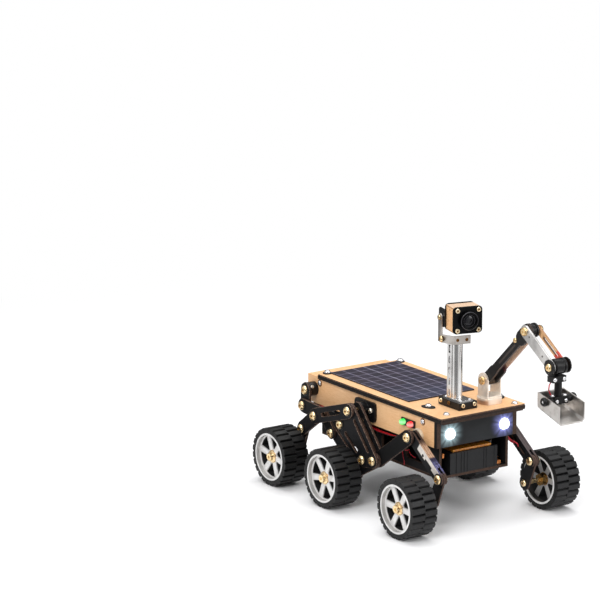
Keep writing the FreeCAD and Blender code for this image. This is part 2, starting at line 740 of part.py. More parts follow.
def head():
    bottom = mast_top_z + face_gap
    top = bottom + bracket_height
    front = mast_x + bracket_front
    corner_y = mast_y + bracket_corner
    left_y = mast_y + bracket_left
    bar = block(front - bracket_thick, front, corner_y, left_y, bottom, top)
    for i in range(bracket_hole_count):
        y = (corner_y + left_y) / 2 + (i - (bracket_hole_count - 1) / 2) * bracket_hole_pitch
        bar = bar.cut(rod_x(y, (bottom + top) / 2, bracket_hole_radius, front - bracket_thick - over, front + over,
                           bore_sides))
    shelf = block(mast_x - bracket_front, front, corner_y, left_y, bottom, bottom + bracket_thick)
    tilt_x = mast_x - tilt_back
    head_y = mast_y + head_offset
    servo_out = head_y - head_half_width - servo_thick
    ear_in = servo_out - turn_gap
    ear_out = ear_in - bracket_thick
    wing = [(front, corner_y), (tilt_x + ear_width / 2, ear_out), (tilt_x - ear_width / 2, ear_out),
            (tilt_x - ear_width / 2, ear_in), (tilt_x + ear_width / 2, ear_in), (front - bracket_thick, corner_y)]
    corners = [vec(x, y, bottom) for x, y in wing]
    wing = Part.Face(Part.makePolygon(corners + corners[:1])).extrude(vec(0, 0, bracket_height))
    ear = block(tilt_x - ear_width / 2, tilt_x + ear_width / 2, ear_out, ear_in, bottom, tilt_z)
    ear = fused([ear, rod_y(tilt_x, tilt_z, ear_width / 2, ear_out, ear_in)])
    bore = clear_of(pin_radius + run_gap, head_sides)
    bracket = fused([bar, shelf, wing, ear])
    bracket = bracket.cut(rod_y(tilt_x, tilt_z, bore, ear_out - over, ear_in + over, head_sides))
    plug_radius = mast_tube_radius - mast_tube_wall - run_gap
    plug = rod_z(mast_x, mast_y, plug_radius, mast_top_z - plug_length, bottom)
    save("head_bracket", panned([fused([bracket, plug])]))

    face = mast_x + head_front
    back = face - head_depth
    box = block(back, face, head_y - head_half_width, head_y + head_half_width,
                head_centre_z - head_half_height, head_centre_z + head_half_height)
    save("head_box", panned([box]))
    half_y = head_half_width + face_margin - face_radius
    half_z = head_half_height + face_margin - face_radius
    outline = []
    for sy, sz in ((-1, -1), (1, -1), (1, 1), (-1, 1)):
        outline.append((head_y + sy * half_y, head_centre_z + sz * half_z, face_radius))
    plates = []
    for x0, thick in ((face, face_thick), (back - back_thick, back_thick)):
        plate = outline_y(outline, 0, thick)
        plate.rotate(vec(0, 0, 0), vec(0, 0, 1), -90)
        plate = plate.mirror(vec(0, 0, 0), vec(0, 1, 0))
        plate.translate(vec(x0, 0, 0))
        plates.append(plate)
    save("head_faceplate", panned(plates))
    lens_start = face + face_thick
    lens = rod_x(head_y, head_centre_z, lens_radius, lens_start, lens_start + lens_length, tube_sides)
    bowl = rod_x(head_y, head_centre_z, lens_radius - lens_wall, lens_start + lens_length / 2,
                 lens_start + lens_length + over, tube_sides)
    save("head_lens", panned([lens.cut(bowl)]))
    half_x = servo_length / 2 - servo_radius
    half_z = servo_height / 2 - servo_radius
    outline = []
    for sx, sz in ((-1, -1), (1, -1), (1, 1), (-1, 1)):
        outline.append((tilt_x + sx * half_x, tilt_z + sz * half_z, servo_radius))
    servo = outline_y(outline, servo_out, head_y - head_half_width - face_margin, slot_turn)
    pin = rod_y(tilt_x, tilt_z, pin_radius, ear_out - turn_gap, servo_out, head_sides)
    cap = rod_y(tilt_x, tilt_z, tilt_head_radius, ear_out - turn_gap - tilt_head_height, ear_out - turn_gap, head_sides)
    save("tilt_pivot", panned([fused([servo, pin, cap])]))


# Arm: turning foot, two-plate upper arm, forearm, wrist and scoop.

def arm():
    base_z = lid_top_z
    foot_top = base_z + foot_height
    foot = rod_z(arm_x, arm_y, foot_radius, base_z, foot_top, tube_sides)
    flat = block(arm_x + foot_flat, arm_x + foot_radius + over, arm_y - foot_radius, arm_y + foot_radius,
                 base_z - over, foot_top + over)
    socket_depth = foot_height / 2
    socket_radius = clear_of(pin_radius + run_gap, head_sides)
    socket = rod_z(arm_x, arm_y, socket_radius, foot_top - socket_depth, foot_top + over, head_sides)
    save("arm_foot", [foot.cut(flat).cut(socket)])

    inside = fork_half_inside
    outside = fork_half_inside + fork_plate
    floor_z = foot_top + face_gap
    half = fork_width / 2
    fork_floor = block(arm_x - half, arm_x + half, arm_y - outside, arm_y + outside, floor_z, floor_z + fork_plate)
    ears = []
    for y0 in (arm_y - outside, arm_y + inside):
        ear = block(arm_x - half, arm_x + half, y0, y0 + fork_plate, floor_z, shoulder_z)
        ear = fused([ear, rod_y(arm_x, shoulder_z, half, y0, y0 + fork_plate)])
        ears.append(ear)
    spigot = rod_z(arm_x, arm_y, pin_radius, foot_top - socket_depth + face_gap, floor_z + fork_plate)
    fork = fused([fork_floor, spigot] + ears)
    arm_bore = clear_of(arm_pin_radius + run_gap, bore_sides)
    hole = rod_y(arm_x, shoulder_z, arm_bore, arm_y - outside - over, arm_y + outside + over, bore_sides)
    save("arm_fork", [fork.cut(hole)])

    shoulder = (arm_x, shoulder_z)
    elbow = (elbow_x, elbow_z)
    wrist = (wrist_x, wrist_z)
    low_lobe = between(shoulder, elbow, sleeve_length - sleeve_radius)
    high_lobe = between(elbow, shoulder, elbow_lobe_length)

    def upper_plate(y0, tight_radius, lobes):
        bar = plate_y([at(shoulder, tight_radius), at(elbow, tight_radius)], y0, y0 + upper_ply)
        wide = [plate_y([at(start, radius), at(end, radius)], y0, y0 + upper_ply) for start, end, radius in lobes]
        return fused([bar] + wide)

    sleeve = (shoulder, low_lobe, sleeve_radius)
    elbow_lobe = (elbow, high_lobe, elbow_lobe_radius)
    near = upper_plate(arm_y - upper_inside - upper_ply, upper_bar_radius, [sleeve, elbow_lobe])
    far = upper_plate(arm_y + upper_inside, far_bar_radius, [sleeve])
    plates = []
    for plate, y0 in ((near, arm_y - upper_inside - upper_ply), (far, arm_y + upper_inside)):
        for x, z in (shoulder, elbow):
            plate = plate.cut(rod_y(x, z, arm_bore, y0 - over, y0 + upper_ply + over, bore_sides))
        plates.append(plate)
    reach = outside + turn_gap
    head_end = reach + arm_head_height
    steps = [(arm_head_radius, -head_end, -reach), (arm_pin_radius, -reach, -upper_inside),
             (sleeve_radius, -upper_inside, upper_inside), (arm_pin_radius, upper_inside, reach),
             (arm_head_radius, reach, head_end)]
    save("shoulder_pin", [stepped(arm_x, shoulder_z, steps, arm_y, head_sides)])

    groove = drum_groove_width
    drum_steps = [(elbow_drum_radius, -upper_inside, -groove), (elbow_drum_radius - drum_groove, -groove, groove),
                  (elbow_drum_radius, groove, upper_inside)]
    drum = stepped(elbow_x, elbow_z, drum_steps, arm_y, boss_sides)
    drum = drum.cut(rod_y(elbow_x, elbow_z, arm_bore, arm_y - upper_inside - over, arm_y + upper_inside + over,
                          bore_sides))
    save("upper_arm_near", [fused([plates[0], drum])])
    save("upper_arm_far", [plates[1]])

    fore_in = upper_inside + upper_ply + turn_gap
    fore_out = fore_in + fore_ply
    near_y = arm_y - fore_out
    far_y = arm_y + fore_in
    fore_holes = [turning_hole(elbow, arm_pin_radius), turning_hole(wrist, arm_pin_radius)]
    near_plate = plate_y([at(elbow, fore_radius), at(wrist, fore_wrist_radius)], near_y, near_y + fore_ply, fore_holes,
                         (), 0)
    save("forearm_near", [near_plate])
    far_plate = plate_y([at(elbow, fore_strip_radius), at(wrist, fore_strip_radius)], far_y, far_y + fore_ply,
                        fore_holes, [long_slot(elbow, wrist, slot_margin, fore_slot_radius)])
    save("forearm_far", [far_plate])
    cap_end = fore_out + arm_head_height
    steps = [(arm_head_radius, -cap_end, -fore_out), (arm_pin_radius, -fore_out, fore_out),
             (arm_head_radius, fore_out, cap_end)]
    save("elbow_pin", [stepped(elbow_x, elbow_z, steps, arm_y, head_sides)])

    drum_half = fore_in - turn_gap
    cap_in = fore_out + turn_gap
    cap_out = cap_in + wrist_cap_thick
    steps = [(wrist_drum_radius, -cap_out, -cap_in), (arm_pin_radius, -cap_in, -drum_half),
             (wrist_drum_radius, -drum_half, upper_inside - groove),
             (wrist_drum_radius - drum_groove, upper_inside - groove, upper_inside),
             (wrist_drum_radius, upper_inside, drum_half), (arm_pin_radius, drum_half, cap_in),
             (wrist_drum_radius, cap_in, cap_out)]
    save("wrist_drum", [stepped(wrist_x, wrist_z, steps, arm_y, boss_sides)])

    post_top = wrist_z - wrist_drum_radius + saddle_depth
    post = rod_z(scoop_pin_x, arm_y, post_radius, scoop_pin_z, post_top, head_sides)
    saddle = rod_y(wrist_x, wrist_z, wrist_drum_radius + fit_gap, arm_y - drum_half, arm_y + drum_half, boss_sides)
    collar_y = arm_y - collar_shift
    collar = block(scoop_pin_x - collar_half_depth, scoop_pin_x + collar_half_depth, collar_y - collar_half_width,
                   collar_y + collar_half_width, collar_z - collar_height / 2, collar_z + collar_height / 2)
    post = fused([post, collar]).cut(saddle)
    cap_in = scoop_half_width + turn_gap
    cap_out = cap_in + scoop_cap_thick
    steps = [(scoop_cap_radius, -cap_out, -cap_in), (pin_radius, -cap_in, -yoke_half_width),
             (pin_radius, yoke_half_width, cap_in), (scoop_cap_radius, cap_in, cap_out)]
    pins = stepped(scoop_pin_x, scoop_pin_z, steps, scoop_centre_y, head_sides)
    yoke = rod_y(scoop_pin_x, scoop_pin_z, yoke_radius, scoop_centre_y - yoke_half_width,
                 scoop_centre_y + yoke_half_width)
    yoke_block = block(scoop_pin_x - yoke_block_length / 2, scoop_pin_x + yoke_block_length / 2,
                       scoop_centre_y - yoke_block_half, scoop_centre_y + yoke_block_half,
                       scoop_pin_z - yoke_block_height / 2, scoop_pin_z + yoke_block_height / 2)
    holder = fused([yoke, pins, post, yoke_block])
    save("scoop_yoke", [holder])
    wire = cord(wrist_wire_path, wrist_wire_radius)
    save("wrist_wire", [wire.cut(saddle).cut(holder)])


def scoop():
    """Folded sheet tray with bevelled lower edges, open at the front and top."""
    y_low = scoop_centre_y - scoop_half_width
    y_high = scoop_centre_y + scoop_half_width
    profile = [scoop_rear_top, scoop_rear_bottom, scoop_front_bottom, scoop_front_top]
    corners = [vec(x, y_low, z) for x, z in profile]
    outer = Part.Face(Part.makePolygon(corners + corners[:1])).extrude(vec(0, y_high - y_low, 0))
    run = vec(scoop_front_bottom[0] - scoop_rear_bottom[0], 0, scoop_front_bottom[1] - scoop_rear_bottom[1])
    low_edges = []
    for edge in outer.Edges:
        tangent = edge.tangentAt(edge.FirstParameter)
        middle = edge.CenterOfMass
        mean_z = (scoop_rear_bottom[1] + scoop_front_bottom[1]) / 2
        if abs(tangent.dot(run.normalize())) > 0.999 and abs(middle.z - mean_z) < 1:
            low_edges.append(edge)
    outer = outer.makeChamfer(scoop_chamfer, low_edges)
    open_faces = []
    for face in outer.Faces:
        normal = face.normalAt(0, 0)
        centre = face.CenterOfMass
        if abs(normal.y) < 0.01 and (centre.z > scoop_front_top[1] or centre.x > scoop_front_top[0] - 1):
            open_faces.append(face)
    shell = outer.makeThickness(open_faces, -scoop_wall, 0.001)
    bore = clear_of(pin_radius + run_gap, head_sides)
    hole = rod_y(scoop_pin_x, scoop_pin_z, bore, y_low - over, y_high + over, head_sides)
    save("scoop", [shell.cut(hole)])


os.makedirs("parts", exist_ok=True)
wheels()
box_panels()
lid()
tray()
battery()
lamps()
suspension()
mast()
head()
arm()
scoop()
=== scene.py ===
import math

import bpy
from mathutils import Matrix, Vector


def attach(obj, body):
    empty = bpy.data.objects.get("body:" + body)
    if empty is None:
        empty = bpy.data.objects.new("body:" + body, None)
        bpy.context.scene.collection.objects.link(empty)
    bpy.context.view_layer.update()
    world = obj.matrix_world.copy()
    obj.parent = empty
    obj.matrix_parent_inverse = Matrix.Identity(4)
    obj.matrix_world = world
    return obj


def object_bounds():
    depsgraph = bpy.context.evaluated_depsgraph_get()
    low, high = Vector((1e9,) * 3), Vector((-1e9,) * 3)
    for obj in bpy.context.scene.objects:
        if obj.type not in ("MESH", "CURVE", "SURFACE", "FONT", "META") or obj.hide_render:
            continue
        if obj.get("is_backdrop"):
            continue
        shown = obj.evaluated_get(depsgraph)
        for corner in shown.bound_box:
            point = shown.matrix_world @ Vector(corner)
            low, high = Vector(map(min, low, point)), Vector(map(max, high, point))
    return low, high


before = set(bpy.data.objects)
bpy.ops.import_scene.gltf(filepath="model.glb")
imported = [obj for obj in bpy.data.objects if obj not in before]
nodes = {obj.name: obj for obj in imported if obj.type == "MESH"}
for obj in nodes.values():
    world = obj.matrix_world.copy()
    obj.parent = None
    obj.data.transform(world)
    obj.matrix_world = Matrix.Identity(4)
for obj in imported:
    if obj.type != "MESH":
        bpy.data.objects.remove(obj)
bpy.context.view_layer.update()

# The finished model's box is measured at the end.
scene = bpy.context.scene


# Camera, floor and lamps. The rover stands on a plain white studio sweep, seen
# from ahead and to its right through a long lens, low enough that only floor shows.
mm = 0.001
camera = bpy.data.objects.new("camera", bpy.data.cameras.new("camera"))
camera.location = (2.66635, -2.00261, 1.02403)
yaw = math.radians(145.637)
pitch = math.radians(-13.449)
look = Vector((math.cos(yaw) * math.cos(pitch), math.sin(yaw) * math.cos(pitch), math.sin(pitch)))
camera.rotation_euler = look.to_track_quat("-Z", "Y").to_euler()
focal_pixels = 3207.4
picture_pixels = 600
camera.data.sensor_width = 36
camera.data.lens = focal_pixels / picture_pixels * camera.data.sensor_width
camera.data.clip_end = 60
scene.collection.objects.link(camera)
scene.camera = camera
scene.view_settings.view_transform = "Standard"


class Socket:
    """One socket of a shader, so that sums and products of sockets are written as expressions."""

    def __init__(self, tree, out=None):
        self.tree = tree
        self.out = out

    def make(self, kind, settings=None, values=None, out=0):
        """Adds a node of this kind: its settings first, then the values or links of its inputs."""
        node = self.tree.nodes.new(kind)
        for name, value in (settings or {}).items():
            setattr(node, name, value)
        for key, value in (values or {}).items():
            if isinstance(value, Socket):
                self.tree.links.new(value.out, node.inputs[key])
            else:
                node.inputs[key].default_value = value
        return Socket(self.tree, node.outputs[out])

    def other(self, out):
        return Socket(self.tree, self.out.node.outputs[out])

    def number(self, operation, *others):
        """A Math node on this socket, and on the others where it takes more than one."""
        return self.make("ShaderNodeMath", {"operation": operation}, dict(enumerate((self, *others))))

    def after(self, operation, value):
        """A Math node that takes the value first and this socket second."""
        return self.make("ShaderNodeMath", {"operation": operation}, {0: value, 1: self})

    def __add__(self, value):
        return self.number("ADD", value)

    def __radd__(self, value):
        return self.after("ADD", value)

    def __sub__(self, value):
        return self.number("SUBTRACT", value)

    def __rsub__(self, value):
        return self.after("SUBTRACT", value)

    def __mul__(self, value):
        return self.number("MULTIPLY", value)

    def __rmul__(self, value):
        return self.after("MULTIPLY", value)

    def __truediv__(self, value):
        return self.number("DIVIDE", value)

    def __rtruediv__(self, value):
        return self.after("DIVIDE", value)

    def __gt__(self, value):
        return self.number("GREATER_THAN", value)

    def __lt__(self, value):
        return self.number("LESS_THAN", value)

    def __abs__(self):
        return self.number("ABSOLUTE")

    def larger(self, value):
        return self.number("MAXIMUM", value)

    def part_of_step(self):
        """What is left after the whole steps are taken off, 0 to 1."""
        return self.number("FRACT")

    def length(self, other):
        """How far a point lies from zero, where this and the other socket are its two distances."""
        return (self * self + other * other).number("SQRT")

    def rise(self, low, high):
        """Goes smoothly from 0 at low to 1 at high, or from 1 to 0 where low is the larger."""
        flip = low > high
        values = {"Value": self, "From Min": min(low, high), "From Max": max(low, high),
                  "To Min": float(flip), "To Max": float(not flip)}
        return self.make("ShaderNodeMapRange", {"interpolation_type": "SMOOTHSTEP"}, values)

    def blend(self, first, second):
        """The first colour where this socket is 0, the second where it is 1."""
        return self.make("ShaderNodeMix", {"data_type": "RGBA"}, {0: self, 6: first, 7: second}, 2)

    def times(self, scale):
        return self.make("ShaderNodeVectorMath", {"operation": "MULTIPLY"}, {0: self, 1: scale})

    def noise(self, scale, detail=3.0, rough=0.55):
        values = {"Vector": self, "Scale": scale, "Detail": detail, "Roughness": rough}
        return self.make("ShaderNodeTexNoise", {}, values)

    def axes(self):
        split = self.make("ShaderNodeSeparateXYZ", {}, {0: self})
        return split, split.other(1), split.other(2)


def paint(red, green, blue):
    """A colour as a screen shows it, 0 to 255, turned into light."""
    light = []
    for value in (red, green, blue):
        value = value / 255
        light.append(value / 12.92 if value <= 0.04045 else ((value + 0.055) / 1.055) ** 2.4)
    return (light[0], light[1], light[2], 1.0)


def finish(name, build, **constants):
    """A material: build gets the place and normal in millimetres of the frame, and gives what varies."""
    material = bpy.data.materials.new(name)
    material.use_nodes = True
    tree = material.node_tree
    start = Socket(tree)
    where = start.make("ShaderNodeTexCoord", {}, {}, "Object")
    place = where.times((1 / mm, 1 / mm, 1 / mm))
    shader = tree.nodes["Principled BSDF"]
    for socket, value in build(place, where.other("Normal")).items():
        if socket == "bump":
            height, depth = value
            value = start.make("ShaderNodeBump", {}, {"Height": height, "Distance": depth * mm})
            socket = "Normal"
        if isinstance(value, Socket):
            tree.links.new(value.out, shader.inputs[socket])
        else:
            shader.inputs[socket].default_value = value
    for socket, value in constants.items():
        shader.inputs[socket.replace("_", " ")].default_value = value
    return material


def floor_look(place, normal):
    cloud = place.noise(0.004, 2.0)
    return {"Base Color": cloud.rise(0.3, 0.7).blend(paint(243, 243, 244), paint(246, 246, 247)),
            "Roughness": 0.5 + 0.1 * cloud}


def panels(x, y):
    """How bright the studio is on each bearing: two white panels, with dark gaps between them."""
    bearing = y.number("ARCTAN2", x)
    left = (bearing + 2.06).number("COSINE").rise(0.76, 0.98)
    right = (bearing - 0.6).number("COSINE").rise(0.46, 0.9)
    return left.larger(right)


studio_floor = finish("studio floor", floor_look, Specular_IOR_Level=0.25)
ground = Socket(studio_floor.node_tree)
x, y, z = ground.make("ShaderNodeTexCoord", {}, {}, "Object").axes()
away = x.length(y)
mirrored = ground.make("ShaderNodeLightPath").other("Is Glossy Ray")
level = 1 - mirrored * (1 - panels(x, y)) * 0.8
white = ground.make("ShaderNodeEmission", {}, {"Color": (1, 1, 1, 1), "Strength": level})
plain = Socket(ground.tree, ground.tree.nodes["Principled BSDF"].outputs[0])
beyond = away.rise(0.42, 1.1) * (1 - mirrored) + away.rise(0.28, 0.5) * mirrored
mixed = ground.make("ShaderNodeMixShader", {}, {0: beyond, 1: plain, 2: white})
ground.tree.links.new(mixed.out, ground.tree.nodes["Material Output"].inputs["Surface"])
floor_mesh = bpy.data.meshes.new("floor")
reach = 16.0
floor_corners = [(-reach, -reach, 0), (reach, -reach, 0), (reach, reach, 0), (-reach, reach, 0)]
floor_mesh.from_pydata(floor_corners, [], [(0, 1, 2, 3)])
floor = bpy.data.objects.new("floor", floor_mesh)
floor.location.z = -0.2 * mm
floor_mesh.materials.append(studio_floor)
scene.collection.objects.link(floor)
floor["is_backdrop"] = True

for name, place, aim, width, height, power in (
        ("key lamp", (1.6, -2.4, 2.6), (0, 0, 0.08), 1.8, 1.4, 82),
        ("fill lamp", (2.9, 1.4, 1.5), (0, 0, 0.1), 1.6, 1.6, 38),
        ("top lamp", (-0.4, 0.3, 2.8), (0, 0, 0), 2.4, 2.4, 60)):
    lamp = bpy.data.lights.new(name, "AREA")
    lamp.shape = "RECTANGLE"
    lamp.size = width
    lamp.size_y = height
    lamp.energy = power
    holder = bpy.data.objects.new(name, lamp)
    holder.location = place
    holder.rotation_euler = (Vector(aim) - Vector(place)).to_track_quat("-Z", "Y").to_euler()
    scene.collection.objects.link(holder)

world = bpy.data.worlds.new("studio")
scene.world = world
world.use_nodes = True
sky = Socket(world.node_tree)
ray = sky.make("ShaderNodeLightPath")
glossy = ray.other("Is Glossy Ray")
seen = ray.larger(glossy.larger(ray.other("Is Transmission Ray")))
x, y, z = sky.make("ShaderNodeTexCoord", {}, {}, "Generated").axes()
shown = glossy * (0.16 + 0.84 * panels(x, y).larger(z.rise(0.45, 0.8)))
background = world.node_tree.nodes["Background"]
background.inputs["Color"].default_value = (1, 1, 1, 1)
sky_level = (0.42 + seen * 0.58) * (1 - glossy) + shown
world.node_tree.links.new(sky_level.out, background.inputs["Strength"])


# Plywood box. Side and rear walls of 3 mm birch ply, laser-cut, with clear satin
# faces, brown scorched edges, and two panel screws on each side.
def ply_face(place, across):
    """Colour, grain and flecks of a birch face. Its grain is fine along the axis across."""
    stretch = [0.02, 0.02, 0.02]
    stretch[across] = 0.35
    grain = place.times(tuple(stretch)).noise(9.0, 5.0, 0.6)
    cloud = place.noise(0.018, 3.0)
    fleck = place.times((0.5, 0.5, 0.5)).noise(2.4, 2.0)
    tone = grain.rise(0.3, 0.72).blend(paint(240, 192, 142), paint(222, 168, 115))
    tone = (cloud.rise(0.35, 0.75) * 0.5).blend(tone, paint(244, 203, 156))
    tone = (fleck.rise(0.66, 0.76) * 0.5).blend(tone, paint(178, 122, 78))
    return tone, grain, fleck


def plywood(name, face_axis, grain_axis):
    """Birch ply whose faces look along face_axis, with scorched cut edges."""
    def look(place, normal):
        tone, grain, fleck = ply_face(place, 3 - face_axis - grain_axis)
        facing = abs(normal.axes()[face_axis])
        edge = facing.rise(0.75, 0.35) * normal.axes()[2].rise(0.7, 0.4)
        layer = place.axes()[face_axis].part_of_step()
        char = place.noise(0.4, 3.0)
        scorch = abs(layer - 0.5).rise(0.2, 0.45).blend(paint(58, 36, 26), paint(104, 68, 44))
        scorch = (char.rise(0.35, 0.7) * 0.7).blend(scorch, paint(34, 23, 19))
        return {"Base Color": edge.blend(tone, scorch), "Roughness": 0.42 + 0.2 * grain + edge * 0.2,
                "bump": (grain * 0.7 + fleck * 0.3 - edge * layer * 0.8, 0.06)}
    return finish(name, look, Coat_Weight=0.12, Coat_Roughness=0.3)


def ease_corners(made, bevel, sharp):
    """Rounds the corners that are sharper than this angle, and keeps flat faces flat."""
    ease = made.modifiers.new("ease", "BEVEL")
    ease.width = bevel * mm
    ease.segments = 2
    ease.limit_method = "ANGLE"
    ease.angle_limit = math.radians(sharp)
    smooth = made.modifiers.new("smooth", "WEIGHTED_NORMAL")
    smooth.weight = 80


def dress(name, material, bevel, sharp=40):
    """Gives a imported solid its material, with its corners eased as the real one's are."""
    node = nodes[name]
    for slot in node.material_slots:
        slot.material = material
    if not node.material_slots:
        node.data.materials.append(material)
    weld = node.modifiers.new("weld", "WELD")
    weld.merge_threshold = 0.002 * mm
    ease_corners(node, bevel, sharp)


dress("side_panels", plywood("side ply", 1, 0), 0.2)
dress("rear_panel", plywood("rear ply", 0, 1), 0.2)


class Form:
    """Points and faces of one piece, in millimetres, gathered from turned and straight shapes."""

    def __init__(self):
        self.points = []
        self.faces = []

    def rings(self, rings, capped=True):
        count = len(rings[0])
        base = len(self.points)
        for ring in rings:
            self.points += ring
        for k in range(len(rings) - 1):
            for i in range(count):
                j = (i + 1) % count
                self.faces.append((base + k * count + i, base + k * count + j,
                                   base + (k + 1) * count + j, base + (k + 1) * count + i))
        if capped:
            self.faces.append(tuple(base + i for i in reversed(range(count))))
            self.faces.append(tuple(base + (len(rings) - 1) * count + i for i in range(count)))

    def turned(self, steps, centre, axis, sides=24, closed=False):
        """Rings of (radius, height) along an axis from centre, or (radius, height, True) for a hexagon."""
        axis = Vector(axis).normalized()
        side = axis.orthogonal().normalized() if abs(axis.z) < 0.9 else Vector((1, 0, 0))
        up = axis.cross(side).normalized()
        side = up.cross(axis).normalized()
        rings = []
        for radius, height, *hexagon in steps:
            ring = []
            for i in range(sides):
                angle = 2 * math.pi * i / sides
                reach = radius
                if hexagon:
                    reach *= math.cos(math.pi / 6) / math.cos((angle % (math.pi / 3)) - math.pi / 6)
                outward = side * math.cos(angle) + up * math.sin(angle)
                ring.append(tuple(Vector(centre) + axis * height + outward * reach))
            rings.append(ring)
        if closed:
            rings.append(rings[0])
        self.rings(rings, not closed)

    def button(self, centre, axis, radius, height, socket, sides=24):
        """Button head with a hexagon socket, seated at centre."""
        crown = [(1.0, 0.0), (1.0, 0.22), (0.95, 0.5), (0.83, 0.78), (0.66, 0.95)]
        steps = [(radius * share, height * rise) for share, rise in crown]
        steps += [(max(radius * 0.52, socket * 1.1), height), (socket, height * 0.98, True),
                  (socket * 0.96, height * 0.42, True), (socket * 0.5, height * 0.36)]
        self.turned(steps, centre, axis, sides)

    def cup(self, centre, axis, radius, height, hole, holes):
        """Screw head with an open socket, whose floor goes to another form and is painted dark there: painted
        shade inside the socket.
        """
        self.turned([(radius, 0), (radius, height * 0.6), (radius * 0.86, height), (hole * 1.12, height),
                     (hole, height * 0.85), (hole, 0)], centre, axis, closed=True)
        dark = hole * 1.02
        holes.turned([(dark, 0), (dark, height * 0.45), (hole * 0.3, height * 0.4)], centre, axis)

    def block(self, low, high):
        (x0, y0, z0), (x1, y1, z1) = low, high
        self.rings([[(x0, y0, z), (x1, y0, z), (x1, y1, z), (x0, y1, z)] for z in (z0, z1)])

    def sheet(self, outline, reach):
        """A flat piece: its outline's points in space, and how far it is thick."""
        self.rings([outline, [tuple(Vector(point) + Vector(reach)) for point in outline]])

    def piece(self, name, material, body, bevel=0.0):
        mesh = bpy.data.meshes.new(name)
        mesh.from_pydata([(x * mm, y * mm, z * mm) for x, y, z in self.points], [], self.faces)
        mesh.materials.append(material)
        mesh.update()
        made = bpy.data.objects.new(name, mesh)
        scene.collection.objects.link(made)
        for polygon in mesh.polygons:
            polygon.use_smooth = True
        crease = 35
        if bevel:
            ease_corners(made, bevel, crease)
        else:
            mesh.set_sharp_from_angle(angle=math.radians(crease))
        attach(made, body)


def metal(name, bright, dark, rough, grain=(1.0, 1.0, 1.0), scale=0.8, deep=0.02):
    """Metal with fine marks, duller and darker where dirt and handling gather."""
    def look(place, normal):
        marks = place.times(grain).noise(scale, 4.0, 0.65)
        dull = place.noise(0.11, 2.0).rise(0.45, 0.8)
        return {"Base Color": (dull * 0.75).blend(bright, dark),
                "Roughness": rough + 0.16 * marks + 0.1 * dull, "bump": (marks, deep)}
    return finish(name, look, Metallic=1.0)


steel = metal("bright steel", paint(226, 226, 228), paint(150, 148, 146), 0.16)
brown_ring = metal("brown ring", paint(132, 88, 56), paint(84, 52, 34), 0.4)
wall_y = 53.0
panel_screw_places = ((-146.0, 111.5), (45.0, 111.3))
ring_steps = [(3.9, 0.0), (3.9, 0.2), (3.5, 0.3), (2.6, 0.3)]
panel_screws = Form()
panel_rings = Form()
for side in (-1, 1):
    for x, z in panel_screw_places:
        centre = (x, side * wall_y, z)
        panel_screws.button(centre, (0, side, 0), 3.0, 1.9, 1.2)
        panel_rings.turned(ring_steps, centre, (0, side, 0), 30)
panel_screws.piece("panel_screws", steel, "chassis")
panel_rings.piece("panel_rings", brown_ring, "chassis")


# Floor of the box and the open tray under it. Black-stained ply, laser-cut with a
# row of round-cornered windows; every cut edge shows its brown layers.
def cut_edge(through, light, dark):
    """Layers of a cut edge, counted through the plate, and the brown that they show."""
    layer = (through * 0.83).part_of_step()
    return layer, abs(layer - 0.5).rise(0.12, 0.42).blend(dark, light)


def stained(name, face_axis, face, light, dark, rough=0.5, glint=0.25):
    """Stained plates: dark faces square to face_axis, layered brown cut edges, and a pale painted highlight
    along the eased corners, partly wear; glint sets its strength.
    """
    def look(place, normal):
        facing = abs(normal.axes()[face_axis])
        edge = facing.rise(0.8, 0.45)
        slow = 0.06 if face_axis == 1 else 0.05
        grain = place.times((slow, 0.4, slow)).noise(7.0, 4.0, 0.6)
        dust = place.noise(0.25, 4.0, 0.7)
        scuff = place.times((0.4, 0.4, 0.4)).noise(1.3, 3.0)
        tone = grain.rise(0.35, 0.7).blend(face, tuple(c * 1.5 for c in face[:3]) + (1.0,))
        tone = (dust.rise(0.6, 0.85) * 0.25).blend(tone, paint(84, 78, 76))
        layer, brown = cut_edge(place.axes()[face_axis], light, dark)
        brown = (scuff.rise(0.45, 0.7) * 0.6).blend(brown, dark)
        # Painted highlight: a pale line where the eased corner meets the face, broken by scuffs, partly the
        # wear of the cut corner.
        sheen_and_wear = facing.rise(0.97, 0.85) * facing.rise(0.3, 0.6) * scuff.rise(0.35, 0.6)
        tone = (sheen_and_wear * glint).blend(edge.blend(tone, brown), paint(186, 158, 138))
        return {"Base Color": tone, "Roughness": rough + 0.14 * dust - edge * 0.08,
                "bump": (grain * 0.5 + dust * 0.3 + edge * layer * 0.8, 0.05)}
    return finish(name, look, Specular_IOR_Level=0.14)


black_face = paint(17, 16, 17)
edge_brown = paint(88, 66, 54)
edge_dark = paint(32, 23, 20)
for name, ply_name, face_axis in (
        ("box_floor", "floor ply", 2), ("tray_floor", "tray floor ply", 2),
        ("tray_sides", "tray side ply", 1), ("tray_rear", "tray rear ply", 0)):
    dress(name, stained(ply_name, face_axis, black_face, edge_brown, edge_dark), 0.2)


# Front of the box: a satin slate panel between two stained corner posts. The two
# headlamps are clear white lenses, lit, and their light streaks over the panel.
lamp_places = ((-36.0, 101.0), (36.0, 101.0))


def lamp_glow(y, z, lamp_y, lamp_z):
    """Light on the panel round one lamp: a bright rim, and streaks that fade outwards."""
    dy = y - lamp_y
    dz = z - lamp_z
    away = dy.length(dz)
    angle = dz.number("ARCTAN2", dy)
    rays = abs((angle * 5.5).number("SINE")) * 0.6 + abs((angle * 8.5 + 0.7).number("SINE")) * 0.4
    near = away.rise(22.0, 5.0)
    return near * near * (0.22 + rays * 0.55) + away.rise(9.5, 5.5) * 0.9


